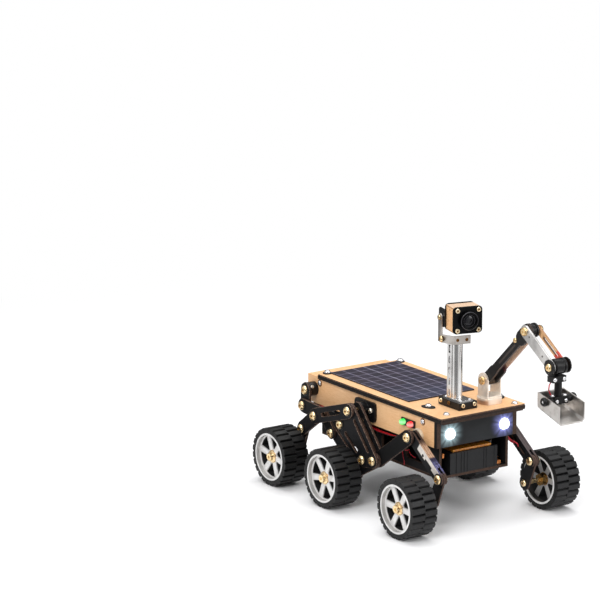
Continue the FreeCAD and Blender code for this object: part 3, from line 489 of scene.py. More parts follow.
def slate_look(place, normal):
    x, y, z = place.axes()
    dust = place.noise(0.3, 4.0)
    wave = place.noise(0.03, 2.0)
    tone = wave.rise(0.3, 0.7).blend(paint(26, 27, 29), paint(36, 38, 40))
    tone = (dust.rise(0.6, 0.8) * 0.25).blend(tone, paint(64, 66, 68))
    light = y.rise(-20.0, 20.0).blend(paint(194, 224, 232), paint(160, 166, 250))
    glow = sum(lamp_glow(y, z, *lamp) for lamp in lamp_places)
    return {"Base Color": tone, "Roughness": 0.36 + 0.12 * dust,
            "Emission Color": glow.blend(paint(0, 0, 0), light), "bump": (dust, 0.015)}


dress("front_panel", finish("slate panel", slate_look, Emission_Strength=0.85, Specular_IOR_Level=0.15), 0.2)
dress("front_posts", stained("post ply", 1, black_face, edge_brown, edge_dark), 0.2)


def lamp_look(place, normal):
    cloud = place.noise(0.6, 2.0)
    return {"Base Color": paint(244, 248, 255), "Roughness": 0.12 + 0.05 * cloud,
            "Emission Color": cloud.rise(0.2, 0.9).blend(paint(255, 255, 255), paint(235, 245, 255))}


lamp_glass = finish("lamp lens", lamp_look, Emission_Strength=3.2)
dress("head_lamps", lamp_glass, 0.6)
front_x = 70.0
lamp_steps = [(5.05, 0.1), (5.05, 2.6), (4.6, 3.7), (3.5, 4.6), (1.9, 5.2), (0.4, 5.35)]
lamp_ring_steps = [(5.15, -0.2), (6.2, -0.2), (6.2, 0.5), (5.6, 0.8), (5.15, 0.6)]
lenses = Form()
lamp_rings = Form()
for y, z in lamp_places:
    lenses.turned(lamp_steps, (front_x, y, z), (1, 0, 0), 32)
    lamp_rings.turned(lamp_ring_steps, (front_x, y, z), (1, 0, 0), 32, closed=True)
lenses.piece("lamp_lenses", lamp_glass, "chassis")
lamp_rings.piece("lamp_rings", lamp_glass, "chassis")


# Signal lamps on the right wall: a green and a red bead of clear plastic, lit from
# inside, on a black backing plate that lies flat on the ply.
bead_places = (13.25, 26.75)
bead_z = 104.5
backing_y = -54.5


def plastic(name, light, dark, rough, gloss=0.25):
    """Moulded plastic: fine texture, and a little dust and shine from handling."""
    def look(place, normal):
        grit = place.noise(0.9, 5.0, 0.7)
        sheen_and_wear = place.noise(0.08, 2.0).rise(0.5, 0.8)
        return {"Base Color": grit.rise(0.3, 0.75).blend(dark, light),
                "Roughness": rough + 0.15 * grit - 0.1 * sheen_and_wear, "bump": (grit, 0.02)}
    return finish(name, look, Specular_IOR_Level=gloss)


def signal_look(place, normal):
    x, y, z = place.axes()
    between = sum(bead_places) / 2
    red = x.rise(between - 1.0, between + 1.0)
    core = abs(z - bead_z).rise(3.2, 0.0) * 0.5
    hue = red.blend(paint(40, 214, 78), paint(222, 26, 34))
    return {"Base Color": hue, "Emission Color": core.blend(hue, paint(250, 250, 240)),
            "Roughness": 0.15 + 0.1 * place.noise(1.0, 2.0)}


signal = finish("signal lamp", signal_look, Emission_Strength=0.9)
dress("status_lamps", signal, 0.8)
dress("status_plate", plastic("backing plate", paint(24, 24, 26), paint(14, 14, 15), 0.4), 0.3)
bead_steps = [(3.25, 0.0), (3.25, 2.6), (2.95, 3.9), (2.2, 4.9), (1.1, 5.4), (0.2, 5.5)]
beads = Form()
for x in bead_places:
    beads.turned(bead_steps, (x, backing_y, bead_z), (0, -1, 0))
beads.piece("signal_beads", signal, "chassis")


# Lid: a thin ply deck plate on black stained strips, held by six dome-head bolts.
# Four of the bolts press rubber pads onto the deck, and the front two have washers.
strip_face = paint(20, 18, 18)
dress("lid_plate", plywood("deck ply", 2, 0), 0.2)
dress("lid_rims", stained("lid strip ply", 1, strip_face, paint(58, 45, 39), paint(28, 22, 20)), 0.25)
lid_low_z = 118.0
front_strip_x = (78.1, 80.9)
edge_strips = Form()
for side in (-1, 1):
    low_y, high_y = sorted((side * (wall_y + 0.05), side * (wall_y + 2.9)))
    for start, end in ((-146.0, 57.0), (57.6, front_strip_x[1])):
        edge_strips.block((start, low_y, lid_low_z - 1.4), (end, high_y, lid_low_z))
edge_strips.block((front_strip_x[0], -wall_y, lid_low_z - 2.6), (front_strip_x[1], wall_y, lid_low_z))
strip_ply = stained("lid underside", 1, strip_face, paint(78, 60, 50), paint(26, 20, 18))
edge_strips.piece("lid_strips", strip_ply, "chassis", 0.2)
deck_z = 122.5
pad_thick = 1.2
pad_half_width = 5.2
pads = ((-141.0, -46.5, 4.9, 0), (-137.0, 50.0, 4.9, 0), (35.0, -38.5, 8.4, 20), (44.0, 49.5, 8.4, -20))
washer_thick = 0.5
washer_places = ((70.0, -41.0), (75.0, 46.0))
deck_pads = Form()
deck_bolts = Form()
for x, y, half_length, turn in pads:
    spin = math.radians(turn)
    outline = []
    for i in range(20):
        angle = 2 * math.pi * i / 20
        along = half_length * math.cos(angle)
        across = pad_half_width * math.sin(angle)
        outline.append((x + along * math.cos(spin) - across * math.sin(spin),
                        y + along * math.sin(spin) + across * math.cos(spin), deck_z))
    deck_pads.sheet(outline, (0, 0, pad_thick))
    deck_bolts.button((x, y, deck_z + pad_thick), (0, 0, 1), 3.6, 2.6, 1.5)
for x, y in washer_places:
    deck_bolts.turned([(3.8, 0.0), (3.8, washer_thick), (2.0, 0.55)], (x, y, deck_z), (0, 0, 1))
    deck_bolts.button((x, y, deck_z + washer_thick), (0, 0, 1), 3.2, 2.2, 1.3)
rubber = plastic("rubber pad", paint(38, 38, 40), paint(22, 22, 23), 0.6)
deck_pads.piece("deck_pads", rubber, "chassis", 0.3)
deck_bolts.piece("deck_bolts", steel, "chassis")


# Solar panel: dark silicon cells under clear film, joined by pale strips in a grid
# of ten by six, with a brighter strip along the middle.
panel_low = (-138.0, -44.0)
panel_high = (7.0, 44.0)
cells = (10, 6)


def solar_look(place, normal):
    x, y, z = place.axes()
    u = (x - panel_low[0]) / ((panel_high[0] - panel_low[0]) / cells[0])
    v = (y - panel_low[1]) / ((panel_high[1] - panel_low[1]) / cells[1])
    across = abs(u.part_of_step() - 0.5)
    along = abs(v.part_of_step() - 0.5)
    line = (across.rise(0.458, 0.478) * 0.75).larger(along.rise(0.458, 0.478))
    middle = abs(y).rise(0.6, 0.3)
    dots = across.rise(0.44, 0.475) * along.rise(0.44, 0.475)
    cell = u.number("FLOOR") * 7.3 + v.number("FLOOR") * 3.7
    shade = (cell * 0.37).part_of_step()
    fine = abs((v * 9.0).part_of_step() - 0.5).rise(0.4, 0.48) * 0.16
    cloud = place.noise(0.05, 3.0)
    tone = shade.blend(paint(30, 26, 38), paint(38, 36, 54))
    tone = (cloud.rise(0.35, 0.7) * 0.5).blend(tone, paint(52, 40, 50))
    # Painted reflection: the cells are painted lighter and bluer towards the front of the panel.
    tone = x.rise(-60.0, 10.0).blend(tone, paint(52, 54, 74))
    tone = fine.blend(tone, paint(100, 100, 124))
    tone = (line * 0.7).blend(tone, paint(150, 144, 168))
    tone = (middle * 0.45).blend(tone, paint(180, 178, 196))
    tone = (dots * 0.5).blend(tone, paint(196, 194, 210))
    rim = abs(normal.axes()[2]).rise(0.8, 0.4)
    tone = rim.blend(tone, paint(30, 30, 34))
    return {"Base Color": tone, "Roughness": 0.3 + 0.12 * cloud + line * 0.1,
            "bump": (line + cloud * 0.3, 0.02)}


solar_cells = finish("solar cells", solar_look, Coat_Weight=0.1, Coat_Roughness=0.3, Specular_IOR_Level=0.3)
dress("solar_panel", solar_cells, 0.15)


# Battery box in the front of the tray: a black moulding with a flat cell in orange
# film on top of it. Copper contact tabs show on both sides of it.
dress("battery_box", plastic("battery plastic", paint(25, 25, 27), paint(15, 15, 17), 0.4), 0.3)


def film_look(place, normal):
    crease = place.times((0.1, 0.5, 0.1)).noise(2.0, 4.0)
    return {"Base Color": crease.rise(0.35, 0.7).blend(paint(168, 92, 20), paint(232, 158, 48)),
            "Roughness": 0.25 + 0.2 * crease, "bump": (crease, 0.2)}


dress("pouch_cell", finish("orange film", film_look, Coat_Weight=0.3), 0.4)
copper = metal("copper", paint(214, 140, 84), paint(130, 74, 40), 0.3)
contact_tabs = (((55.0, 33.0, 54.0), (62.0, 39.0, 58.5)), ((55.0, -40.0, 72.5), (62.0, -37.0, 77.5)),
                ((50.0, 34.0, 54.0), (54.0, 41.0, 61.0)))
terminals = Form()
for low, high in contact_tabs:
    terminals.block(low, high)
terminals.piece("battery_terminals", copper, "chassis", 0.5)


# Wires: red silicone leads, cut short and clipped. Two lie under the right side of the
# box and one runs from the wrist drum to the scoop's post. Thin ones show at the tail,
# beside a black braid, at the knee and by the left leg.
def wire_look(name, bright, dark, shaded, rough):
    """Red silicone, grimy in places, and in shadow below where shaded is given."""
    def look(place, normal):
        grime = place.noise(0.5, 3.0)
        tone = grime.rise(0.35, 0.75).blend(bright, dark)
        if shaded:
            tone = normal.axes()[2].rise(0.35, 0.8).blend(shaded, tone)
        return {"Base Color": tone, "Roughness": rough + 0.2 * grime, "bump": (grime, 0.03)}
    return finish(name, look)


wire_red = wire_look("red wire", paint(236, 40, 48), paint(170, 18, 32), paint(44, 6, 14), 0.35)
wire_bright = wire_look("bright red wire", paint(196, 20, 40), paint(124, 8, 30), None, 0.3)
black_plastic = plastic("black plastic", paint(20, 19, 20), paint(11, 11, 12), 0.26)
dress("belly_wires", wire_red, 0.3, 75)
dress("wrist_wire", wire_bright, 0.2, 75)
for name, material, slot, radius, runs in (
        ("tail_leads", wire_bright, "wire_red", 0.9, (
            [(-158, -52.6, 85.6), (-151, -53.4, 84.8), (-144, -53.2, 85.6), (-138, -52.4, 86.2)],)),
        ("tail_braid", black_plastic, "black_plastic", 1.7, (
            [(-159, -51.6, 85.2), (-146, -51.8, 85.1), (-132, -51.4, 85.3), (-118, -51.6, 85.4)],)),
        ("knee_leads", wire_bright, "wire_red", 0.5, (
            [(-6, -48.2, 84.0), (-1, -49.6, 77.5), (3, -49.2, 72.0), (9, -48.0, 69.5), (14, -47.2, 72.5)],
            [(2, -48.0, 68.0), (4, -48.6, 62.5), (6, -48.0, 57.0), (4, -47.0, 53.5)],
            [(14, -47.6, 70.0), (19, -48.4, 66.5), (25, -47.4, 66.0)])),
        ("left_leads", wire_bright, "wire_red", 0.7, (
            [(60, 48.0, 84.0), (61, 51.0, 79.0), (66, 55.0, 76.5), (70, 57.0, 73.5), (66, 58.2, 70.0)],
            [(56, 48.0, 84.5), (58, 52.0, 76.0), (63, 56.0, 74.5)]))):
    curve = bpy.data.curves.new(name, "CURVE")
    curve.dimensions = "3D"
    curve.bevel_depth = radius * mm
    curve.bevel_resolution = 2
    curve.resolution_u = 8
    curve.use_fill_caps = True
    for run in runs:
        spline = curve.splines.new("NURBS")
        spline.points.add(len(run) - 1)
        for point, (x, y, z) in zip(spline.points, run):
            point.co = (x * mm, y * mm, z * mm, 1)
        spline.order_u = 3
        spline.use_endpoint_u = True
    curve.materials.append(material)
    leads = bpy.data.objects.new(name, curve)
    scene.collection.objects.link(leads)
    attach(leads, "chassis")


# Suspension: laser-cut plates stained matte blue-black, pinned together with brass pins
# and black washers. The bosses on the walls are black mouldings held by steel screws,
# and the standoff at the knee is natural nylon.
link_face = paint(15, 15, 17)
link_edge = paint(92, 70, 60)
link_dark = paint(30, 22, 20)
links = stained("link ply", 1, link_face, link_edge, link_dark, 0.46, 0.75)
for name in ("rocker_plates", "slotted_arms", "tail_links", "rear_legs", "lower_struts", "middle_brackets"):
    dress(name, links, 0.45)
dress("front_arms", stained("front arm ply", 1, paint(7, 7, 8), link_edge, link_dark, 0.55, 0.4), 0.45)
brass = metal("turned brass", paint(246, 220, 172), paint(188, 142, 88), 0.18)
# Dark bronze for the block's plugs and the bracket's bushes. The same colour paints the floors of the dome
# and face-screw sockets as shade.
bronze_and_socket_shade = metal("dark bronze", paint(122, 84, 44), paint(58, 36, 20), 0.35)
warm_steel = metal("warm steel", paint(236, 226, 210), paint(150, 126, 100), 0.2)
pins = {
    "main": (-57.0, 103.5, 78.6), "arm": (-121.0, 83.5, 78.6), "inner": (-75.0, 84.0, 75.4),
    "rocker_rear": (-34.0, 54.0, 75.4), "rocker_front": (-15.0, 57.0, 75.4), "knee": (39.0, 95.0, 69.2),
    "ankle": (88.5, 60.0, 64.9), "tail": (-156.0, 103.5, 66.0), "tail_low": (-157.0, 86.0, 69.2),
    "rear_knee": (-150.0, 62.0, 75.4), "strut": (-106.0, 65.5, 66.0)}


def from_pin(place, pin, way):
    """How far a place lies along a straight link from its pin, and how far across it."""
    x, y, z = place.axes()
    dx = x - pin[0]
    dz = z - pin[1]
    return dx * way[0] + dz * way[1], dz * way[0] - dx * way[1]


knee = pins["knee"]
leg_way = (0.8166, -0.5774)


def leg_look(place, normal):
    """Stained plates, with the front half of the leg faced in bright slotted metal. Front edges are painted
    grey on the left leg. On the right leg they are tan near the knee and blue-violet further down, a painted
    reflection of lamp light.
    """
    y = place.axes()[1]
    along, across = from_pin(place, knee, leg_way)
    edge = abs(normal.axes()[1]).rise(0.8, 0.45)
    dust = place.noise(0.25, 4.0, 0.7)
    hole = (along - 27.0).length(across - 0.6).rise(1.9, 1.5)
    slot = abs(across + 0.2).rise(1.9, 1.5) * abs(along - 39.0).rise(7.0, 6.4)
    leg = along.rise(15.5, 16.4) * along.rise(58.0, 57.2) * abs(across).rise(6.7, 6.55)
    bright = leg * across.rise(-1.4, -1.0) * (1 - edge) * (1 - hole) * (1 - slot) * abs(y).rise(64.0, 64.3)
    layer, brown = cut_edge(y, link_edge, link_dark)
    tone = edge.blend(dust.rise(0.45, 0.85).blend(link_face, paint(34, 33, 36)), brown)
    right = y.rise(1.0, -1.0)
    front = edge * across.rise(5.4, 5.9) * along.rise(12.0, 22.0) * along.rise(60.0, 55.0)
    patch = place.times((0.2, 0.6, 0.2)).noise(1.5, 3.0).rise(0.35, 0.65)
    # Painted reflection: the right leg's front edge shows the lamps' blue-violet light further from the knee.
    lamp_reflection = (patch * along.rise(38.0, 46.0)).blend(paint(34, 34, 60), paint(112, 112, 158))
    warm = patch.blend(paint(168, 130, 104), paint(200, 166, 138))
    front_edge_and_reflection = (along.rise(37.0, 35.0) * right).blend(right.blend(paint(76, 67, 68), lamp_reflection), warm)
    tone = (front * 0.9).blend(tone, front_edge_and_reflection)
    tone = bright.blend(tone, dust.rise(0.3, 0.7).blend(paint(226, 220, 212), paint(206, 198, 192)))
    return {"Base Color": tone, "Metallic": bright * 0.3, "Roughness": 0.5 + 0.14 * dust - bright * 0.2,
            "bump": (dust + edge * layer - (hole + slot) * leg * 2.0, 0.04)}


leg_ply = finish("leg plates", leg_look, Specular_IOR_Level=0.2)
dress("front_legs", leg_ply, 0.35)
spacers = Form()
for side in (-1, 1):
    corners = []
    for along, across in ((11.0, 1.5), (50.0, 1.5), (50.0, 6.35), (11.0, 6.35)):
        corners.append((knee[0] + along * leg_way[0] - across * leg_way[1], side * 59.55,
                        knee[1] + along * leg_way[1] + across * leg_way[0]))
    if side < 0:
        corners.reverse()
    spacers.sheet(corners, (0, side * 2.6, 0))
spacers.piece("leg_spacers", leg_ply, "chassis")
dress("side_bosses", black_plastic, 0.4)
dress("knee_standoffs", plastic("nylon", paint(226, 212, 190), paint(204, 186, 160), 0.45), 0.4)
dress("pivot_pins", brass, 0.2, 50)
# The domes' hexagon sockets are lined in dark bronze: painted shade inside the sockets.
pin_socket = [(2.3, 1.4, True), (2.1, 2.0, True), (1.2, 2.05), (1.0, 2.5), (0.2, 2.6)]
pin_washer = [(6.6, 0.0), (6.6, 0.45), (6.3, 0.6), (4.0, 0.6)]
domes = Form()
sockets = Form()
washers = Form()
for x, z, y in pins.values():
    for side in (-1, 1):
        seat = (x, side * (y + 0.5), z)
        domes.button(seat, (0, side, 0), 5.1, 2.9, 2.1, 30)
        sockets.turned(pin_socket, seat, (0, side, 0))
        washers.turned(pin_washer, (x, side * y, z), (0, side, 0), 30)
inner_ends = ((88.5, 60.0, 57.0, 4.6), (76.0, 32.5, 59.7, 4.0))
for x, z, y, radius in inner_ends:
    inner_socket = [(radius * 0.5, 1.0), (radius * 0.46, 1.7), (0.3, 1.7)]
    for side in (-1, 1):
        domes.button((x, side * y, z), (0, -side, 0), radius, 2.4, 1.8, 30)
        sockets.turned(inner_socket, (x, side * y, z), (0, -side, 0), 12)
domes.piece("pivot_domes", brass, "chassis")
sockets.piece("pivot_sockets", bronze_and_socket_shade, "chassis")
washers.piece("pivot_washers", black_plastic, "chassis")
boss_plate_y = wall_y + 3.0
boss_screw_places = ((-45.5, 103.0), (-68.0, 103.0))
rear_screw = [(1.9, 0.0), (1.9, 0.8), (1.4, 1.4), (0.4, 1.6)]
boss_screws = Form()
for side in (-1, 1):
    boss_screws.turned(rear_screw, (-149.2, side * 61.2, 107.5), (0.86, 0, 0.51), 20)
    for x, z in boss_screw_places:
        boss_screws.button((x, side * boss_plate_y, z), (0, side, 0), 3.2, 2.2, 1.3)
boss_screws.piece("boss_screws", warm_steel, "chassis")


# Wheels: soft black tyres with two rows of blocks, on six-spoke silver rims. Each
# turns on a brass stub axle and is held by a flanged brass nut.
axles = {"front": 76.0, "middle": -60.0, "rear": -161.0}
spoke_turns = {"front": 59.0, "middle": 10.0, "rear": 50.0}
spokes = 6
tread_blocks = 24
tyre_radius = 32.5
tyre_inner_y = 80.0
tyre_width = 31.0
hub_depth = 5.0


def round_axle(place):
    """Distance from the nearest axle, angle round it, and how far out along it."""
    x, y, z = place.axes()
    ahead_of_middle = (x > 8.0) * (axles["front"] - axles["middle"])
    ahead_of_rear = (x > -110.0) * (axles["middle"] - axles["rear"])
    dx = x - (ahead_of_middle + ahead_of_rear + axles["rear"])
    dz = z - tyre_radius
    return dx.length(dz), dz.number("ARCTAN2", dx), abs(y) - (tyre_inner_y + tyre_width / 2)


def tyre_look(place, normal):
    away, angle, out = round_axle(place)
    grit = place.noise(1.2, 5.0, 0.7)
    dust = place.noise(0.12, 4.0, 0.65)
    lean = abs(out)
    phase = (angle * (tread_blocks / (2 * math.pi)) + 100.12).part_of_step()
    sipe = abs(abs(phase - 0.5) - (0.07 + lean * 0.022)).rise(0.035, 0.012) * lean.rise(4.6, 4.0)
    tread = away.rise(30.6, 31.4)
    groove = away.rise(31.5, 30.6)
    wall_ring = abs(away - 28.6).rise(0.7, 0.3) * (1 - tread)
    tone = grit.rise(0.3, 0.75).blend(paint(11, 11, 12), paint(20, 20, 22))
    tone = (dust.rise(0.55, 0.8) * 0.3 * tread).blend(tone, paint(46, 46, 49))
    # Painted shade: the grooves between the blocks are painted near black. The sipes are painted as dark
    # cuts.
    tone = (sipe * tread * 0.85).blend(tone, paint(4, 4, 4))
    tone = (groove * 0.8).blend(tone, paint(5, 5, 5))
    shoulder = lean.rise(11.5, 14.0) * abs(normal.axes()[1]).rise(0.1, 0.5)
    tone = (shoulder * 0.85).blend(tone, paint(3, 3, 3))
    # Painted shade: the tyres darken towards the rear of the rover.
    tone = (place.axes()[0].rise(40.0, -120.0) * 0.6).blend(tone, paint(3, 3, 3))
    return {"Base Color": tone, "Roughness": 0.4 + 0.18 * grit,
            "bump": (grit * 0.3 - sipe * tread * 1.6 + wall_ring * 0.8, 0.25)}


def rim_look(place, normal):
    away, angle, out = round_axle(place)
    marks = place.times((0.3, 2.0, 0.3)).noise(1.4, 4.0, 0.65)
    cloud = place.noise(0.1, 3.0)
    brassy = away.rise(7.4, 7.1)
    silver = cloud.rise(0.4, 0.75).blend(paint(224, 223, 222), paint(204, 203, 202))
    gold = cloud.rise(0.4, 0.7).blend(paint(224, 184, 112), paint(160, 118, 62))
    # Painted shade: the brass hub is painted darker on its inner side, towards the body.
    gold = out.rise(2.0, -2.0).blend(gold, paint(146, 114, 66))
    sideways = abs(normal.axes()[1]).rise(0.7, 0.35)
    # Painted shade inside the rim: the barrel wall beside the lip is painted grey, faces turned along the
    # axle inside the rim darker grey, and the barrel's inner walls near black, made rougher and less
    # metallic.
    inside = out.rise(10.0, 8.4) * out.rise(-15.0, -14.4)
    deep = inside * sideways * (1 - brassy)
    back = inside * (1 - sideways) * (1 - brassy)
    wall = out.rise(10.2, 10.9) * sideways * away.rise(23.0, 23.8)
    tone = (wall * 0.55).blend(brassy.blend(silver, gold), paint(150, 146, 142))
    tone = (back * 0.6).blend(tone, paint(104, 102, 102))
    tone = deep.blend(tone, out.rise(-7.0, -10.0).blend(paint(17, 16, 17), paint(46, 43, 41)))
    return {"Base Color": tone, "Roughness": 0.32 + 0.14 * marks - brassy * 0.12 + deep * 0.4,
            "Metallic": (0.3 + brassy * 0.7) * (1 - deep), "bump": (marks, 0.015)}


tyre_rubber = finish("tyre rubber", tyre_look, Specular_IOR_Level=0.3)
rim_metal = finish("rim silver", rim_look)
outer_lip = [(24.4, -2.2), (24.4, 0.15), (24.9, 0.38), (26.0, 0.38), (26.5, 0.1), (26.5, -0.2), (26.1, -2.2)]
inner_lip = [(24.4, -2.2), (24.4, 0.35), (24.9, 0.6), (26.0, 0.6), (26.5, 0.3), (26.5, -0.2), (26.1, -2.2)]
spoke_bead = [(22.9, -0.1), (23.1, 0.5), (24.0, 0.75), (24.7, 0.7), (24.7, -0.1)]
nut_steps = [(6.6, 0.0), (6.9, 0.5), (6.9, 1.1), (6.2, 1.7), (4.9, 1.9), (4.4, 2.4), (4.4, 4.9), (3.9, 5.35),
             (2.5, 5.35), (1.9, 5.2, True), (1.8, 3.4, True), (0.8, 3.3)]
for end, axle_x in axles.items():
    for side, way in (("left", 1), ("right", -1)):
        wheel = "%s_%s" % (end, side)
        dress("tyre_" + wheel, tyre_rubber, 0.3)
        dress("wheel_" + wheel, rim_metal, 0.25)
        outer = way * (tyre_inner_y + tyre_width)
        hub = (axle_x, outer - way * hub_depth, tyre_radius)
        trim = Form()
        for steps, y, facing in (
                (outer_lip, outer, way), (inner_lip, way * tyre_inner_y, -way), (spoke_bead, hub[1], way)):
            trim.turned(steps, (axle_x, y, tyre_radius), (0, facing, 0), 72, closed=True)
        for i in range(spokes):
            angle = math.radians(360 / spokes * i + spoke_turns[end])
            radial = Vector((math.cos(angle), 0, math.sin(angle)))
            tangent = Vector((-math.sin(angle), 0, math.cos(angle)))
            rings = []
            for (near, far), (near_half, far_half), rise in (
                    ((6.6, 24.2), (2.7, 3.7), 0.0), ((7.0, 23.6), (1.5, 2.3), 0.8)):
                face = Vector(hub) + Vector((0, way * rise, 0))
                corners = ((near, -near_half), (near, near_half), (far, far_half), (far, -far_half))
                rings.append([tuple(face + radial * out + tangent * half) for out, half in corners[::way]])
            trim.rings(rings)
        trim.piece("rim_trim_" + wheel, rim_metal, "wheel_" + wheel)
        nut = Form()
        nut.turned(nut_steps, hub, (0, way, 0), 36)
        nut.piece("hub_nut_" + wheel, brass, "wheel_" + wheel)


# Mast: a bright drawn tube with a slotted strip beside it. Four steel screws hold its
# foot plate on a black block, which has brass and bronze screws in its sides.
def mast_look(place, normal):
    """Drawn tube, with dark slots punched in the strip behind it."""
    x, y, z = place.axes()
    marks = place.times((0.5, 0.5, 0.04)).noise(1.2, 4.0, 0.65)
    cloud = place.noise(0.04, 2.0)
    slots = sum(abs(z - middle).rise(half_length + 0.4, half_length - 0.4)
                for middle, half_length in ((185.2, 4.4), (172.6, 2.6), (163.4, 1.4)))
    slots = slots * x.rise(41.4, 41.9) * x.rise(45.0, 44.5) * y.rise(-13.0, -14.0)
    tone = cloud.rise(0.4, 0.7).blend(paint(232, 231, 230), paint(208, 206, 204))
    return {"Base Color": slots.blend(tone, paint(30, 28, 27)), "Metallic": 1 - slots,
            "Roughness": 0.16 + 0.1 * marks}


dress("mast_tube", finish("drawn tube", mast_look), 0.2)
dress("mast_block", black_plastic, 0.5)
mast = (47.5, -10.6)
mast_block_y = (-21.0, 3.0)
block_screw_z = 127.6
foot_plate_z = 131.5
pale_brass = metal("pale brass", paint(250, 232, 196), paint(206, 172, 118), 0.22)
block_screws = Form()
block_holes = Form()
block_plugs = Form()
for side, y in zip((-1, 1), mast_block_y):
    block_screws.cup((34.1, y, block_screw_z), (0, side, 0), 2.3, 1.3, 1.05, block_holes)
    block_plugs.cup((47.9, y, block_screw_z), (0, side, 0), 2.1, 0.9, 0.9, block_holes)
for y in (-16.3, -1.2):
    for side in (-1, 1):
        block_screws.cup((mast[0] + side * 18.5, y, block_screw_z), (side, 0, 0), 2.3, 1.3, 1.05, block_holes)
block_screws.piece("block_screws", pale_brass, "chassis")
block_plugs.piece("block_plugs", bronze_and_socket_shade, "chassis")
# The floors of the block's screw and plug sockets are painted black: painted shade.
block_holes.piece("block_sockets", black_plastic, "chassis")
plate_screws = Form()
for x in (35.0, 60.0):
    for y in (-15.0, -3.0):
        plate_screws.button((x, y, foot_plate_z), (0, 0, 1), 1.7, 1.1, 0.8)
plate_screws.piece("plate_screws", steel, "chassis")


# Camera head: a ply box with a black rounded faceplate and a deep glossy lens, held
# in a folded sheet bracket that pans on the mast and lets the box tilt on one screw.
pan = math.radians(-14.0)
ahead = (math.cos(pan), math.sin(pan), 0)
rightward = (math.sin(pan), -math.cos(pan), 0)


def panned(x, y, z):
    """A point set out square to the mast, turned with the head."""
    dx = x - mast[0]
    dy = y - mast[1]
    return (mast[0] + dx * ahead[0] - dy * ahead[1], mast[1] + dx * ahead[1] + dy * ahead[0], z)


head_y = mast[1] + 5.1
head_z = 219.5
face_x = mast[0] + 16.0


def head_ply_look(place, normal):
    """Birch ply, scorched at its top and bottom ends, with two small pilot holes. Its upward face is painted
    paler, a painted highlight.
    """
    tone, grain = ply_face(place, 1)[:2]
    x, y, z = place.axes()
    ends = abs(z - head_z).rise(11.6, 12.2)
    top = normal.axes()[2].rise(0.6, 0.9)
    tone = (ends * 0.5 * (1 - top)).blend(tone, paint(96, 62, 40))
    # Painted highlight: the upward face is painted pale, as if lit from above.
    tone = (top * 0.6).blend(tone, paint(196, 178, 162))
    for hole_x, hole_z in ((48.4, 229.2), (46.0, 217.2)):
        spot = (x - hole_x).length(z - hole_z).rise(1.5, 0.8) * y.rise(-19.0, -20.0) * (1 - top)
        tone = (spot * 0.55).blend(tone, paint(128, 76, 44))
    return {"Base Color": tone, "Roughness": 0.42 + 0.2 * grain, "bump": (grain, 0.05)}


def glass_look(place, normal):
    cloud = place.noise(0.3, 2.0)
    return {"Base Color": cloud.blend(paint(6, 6, 8), paint(14, 14, 20)), "Roughness": 0.08 + 0.06 * cloud}


gloss_black = plastic("gloss black", paint(9, 9, 10), paint(4, 4, 5), 0.24, 0.1)
dress("head_bracket", metal("bracket sheet", paint(196, 190, 184), paint(160, 154, 148), 0.24), 0.2)
dress("head_box", finish("head ply", head_ply_look, Coat_Weight=0.1), 0.3)
dress("head_faceplate", gloss_black, 0.5)
dress("head_lens", gloss_black, 0.4)
dress("tilt_pivot", black_plastic, 0.4)
face_screws = Form()
face_sockets = Form()
for across in (-12.0, 12.0):
    for up in (-10.8, 10.8):
        centre = panned(face_x, head_y + across, head_z + up)
        face_screws.cup(centre, ahead, 2.6, 1.3, 1.2, face_sockets)
face_screws.piece("face_screws", pale_brass, "camera_head")
# The floors of the face screws' sockets are painted dark bronze: painted shade.
face_sockets.piece("face_sockets", bronze_and_socket_shade, "camera_head")
tip = panned(face_x, head_y, head_z)
barrel = Form()
barrel.turned([(9.9, 0.0), (9.9, 4.8), (9.5, 5.2), (8.8, 5.2), (8.3, 4.6), (7.8, 2.9), (6.9, 2.7), (6.6, 3.4),
               (6.0, 3.4), (5.7, 2.8), (5.2, 2.7)], tip, ahead, 48)
barrel.piece("lens_barrel", gloss_black, "camera_head")
# Three thin rings on the lens are painted greyer than the black barrel: painted highlights on its rim and
# inner steps.
lens_rings = Form()
for steps, sides in (
        ([(9.95, 4.7), (9.75, 5.1), (9.5, 5.25), (9.3, 5.2), (9.4, 4.7)], 60),
        ([(6.65, 3.3), (6.5, 3.6), (6.2, 3.6), (6.1, 3.2)], 48),
        ([(3.9, 3.15), (3.75, 3.45), (3.5, 3.5), (3.4, 3.2)], 36)):
    lens_rings.turned(steps, tip, ahead, sides, closed=True)
ring_highlight_plastic = plastic("lens ring highlight", paint(50, 48, 53), paint(36, 35, 39), 0.24, 0.4)
lens_rings.piece("lens_rings", ring_highlight_plastic, "camera_head")
lens_glass = Form()
lens_glass.turned([(5.3, 2.6), (4.7, 2.95), (3.4, 3.4), (1.9, 3.7), (0.4, 3.8)], tip, ahead, 36)
glass = finish("lens glass", glass_look, Specular_IOR_Level=0.34)
lens_glass.piece("lens_glass", glass, "camera_head")
bracket_y = head_y - 20.2
bracket_screws = Form()
bracket_screws.button(panned(mast[0] - 8.0, bracket_y, 195.4), rightward, 3.5, 1.8, 1.5)
bracket_screws.piece("bracket_screws", brass, "head_mount")
bush_steps = [(1.85, -1.2), (1.85, -0.1), (1.5, 0.15), (1.2, 0.1), (1.1, -0.5), (0.3, -0.55)]
bushes = Form()
for y in (-12.6, -2.2):
    bushes.turned(bush_steps, panned(mast[0] + 6.0, y, 195.8), ahead)
bushes.piece("bracket_bushes", bronze_and_socket_shade, "head_mount")
tilt_screw = Form()
tilt_screw.button(panned(mast[0] - 12.1, bracket_y - 0.5, 218.0), rightward, 2.9, 1.7, 1.4)
tilt_screw.piece("tilt_screw", brass, "camera_head")


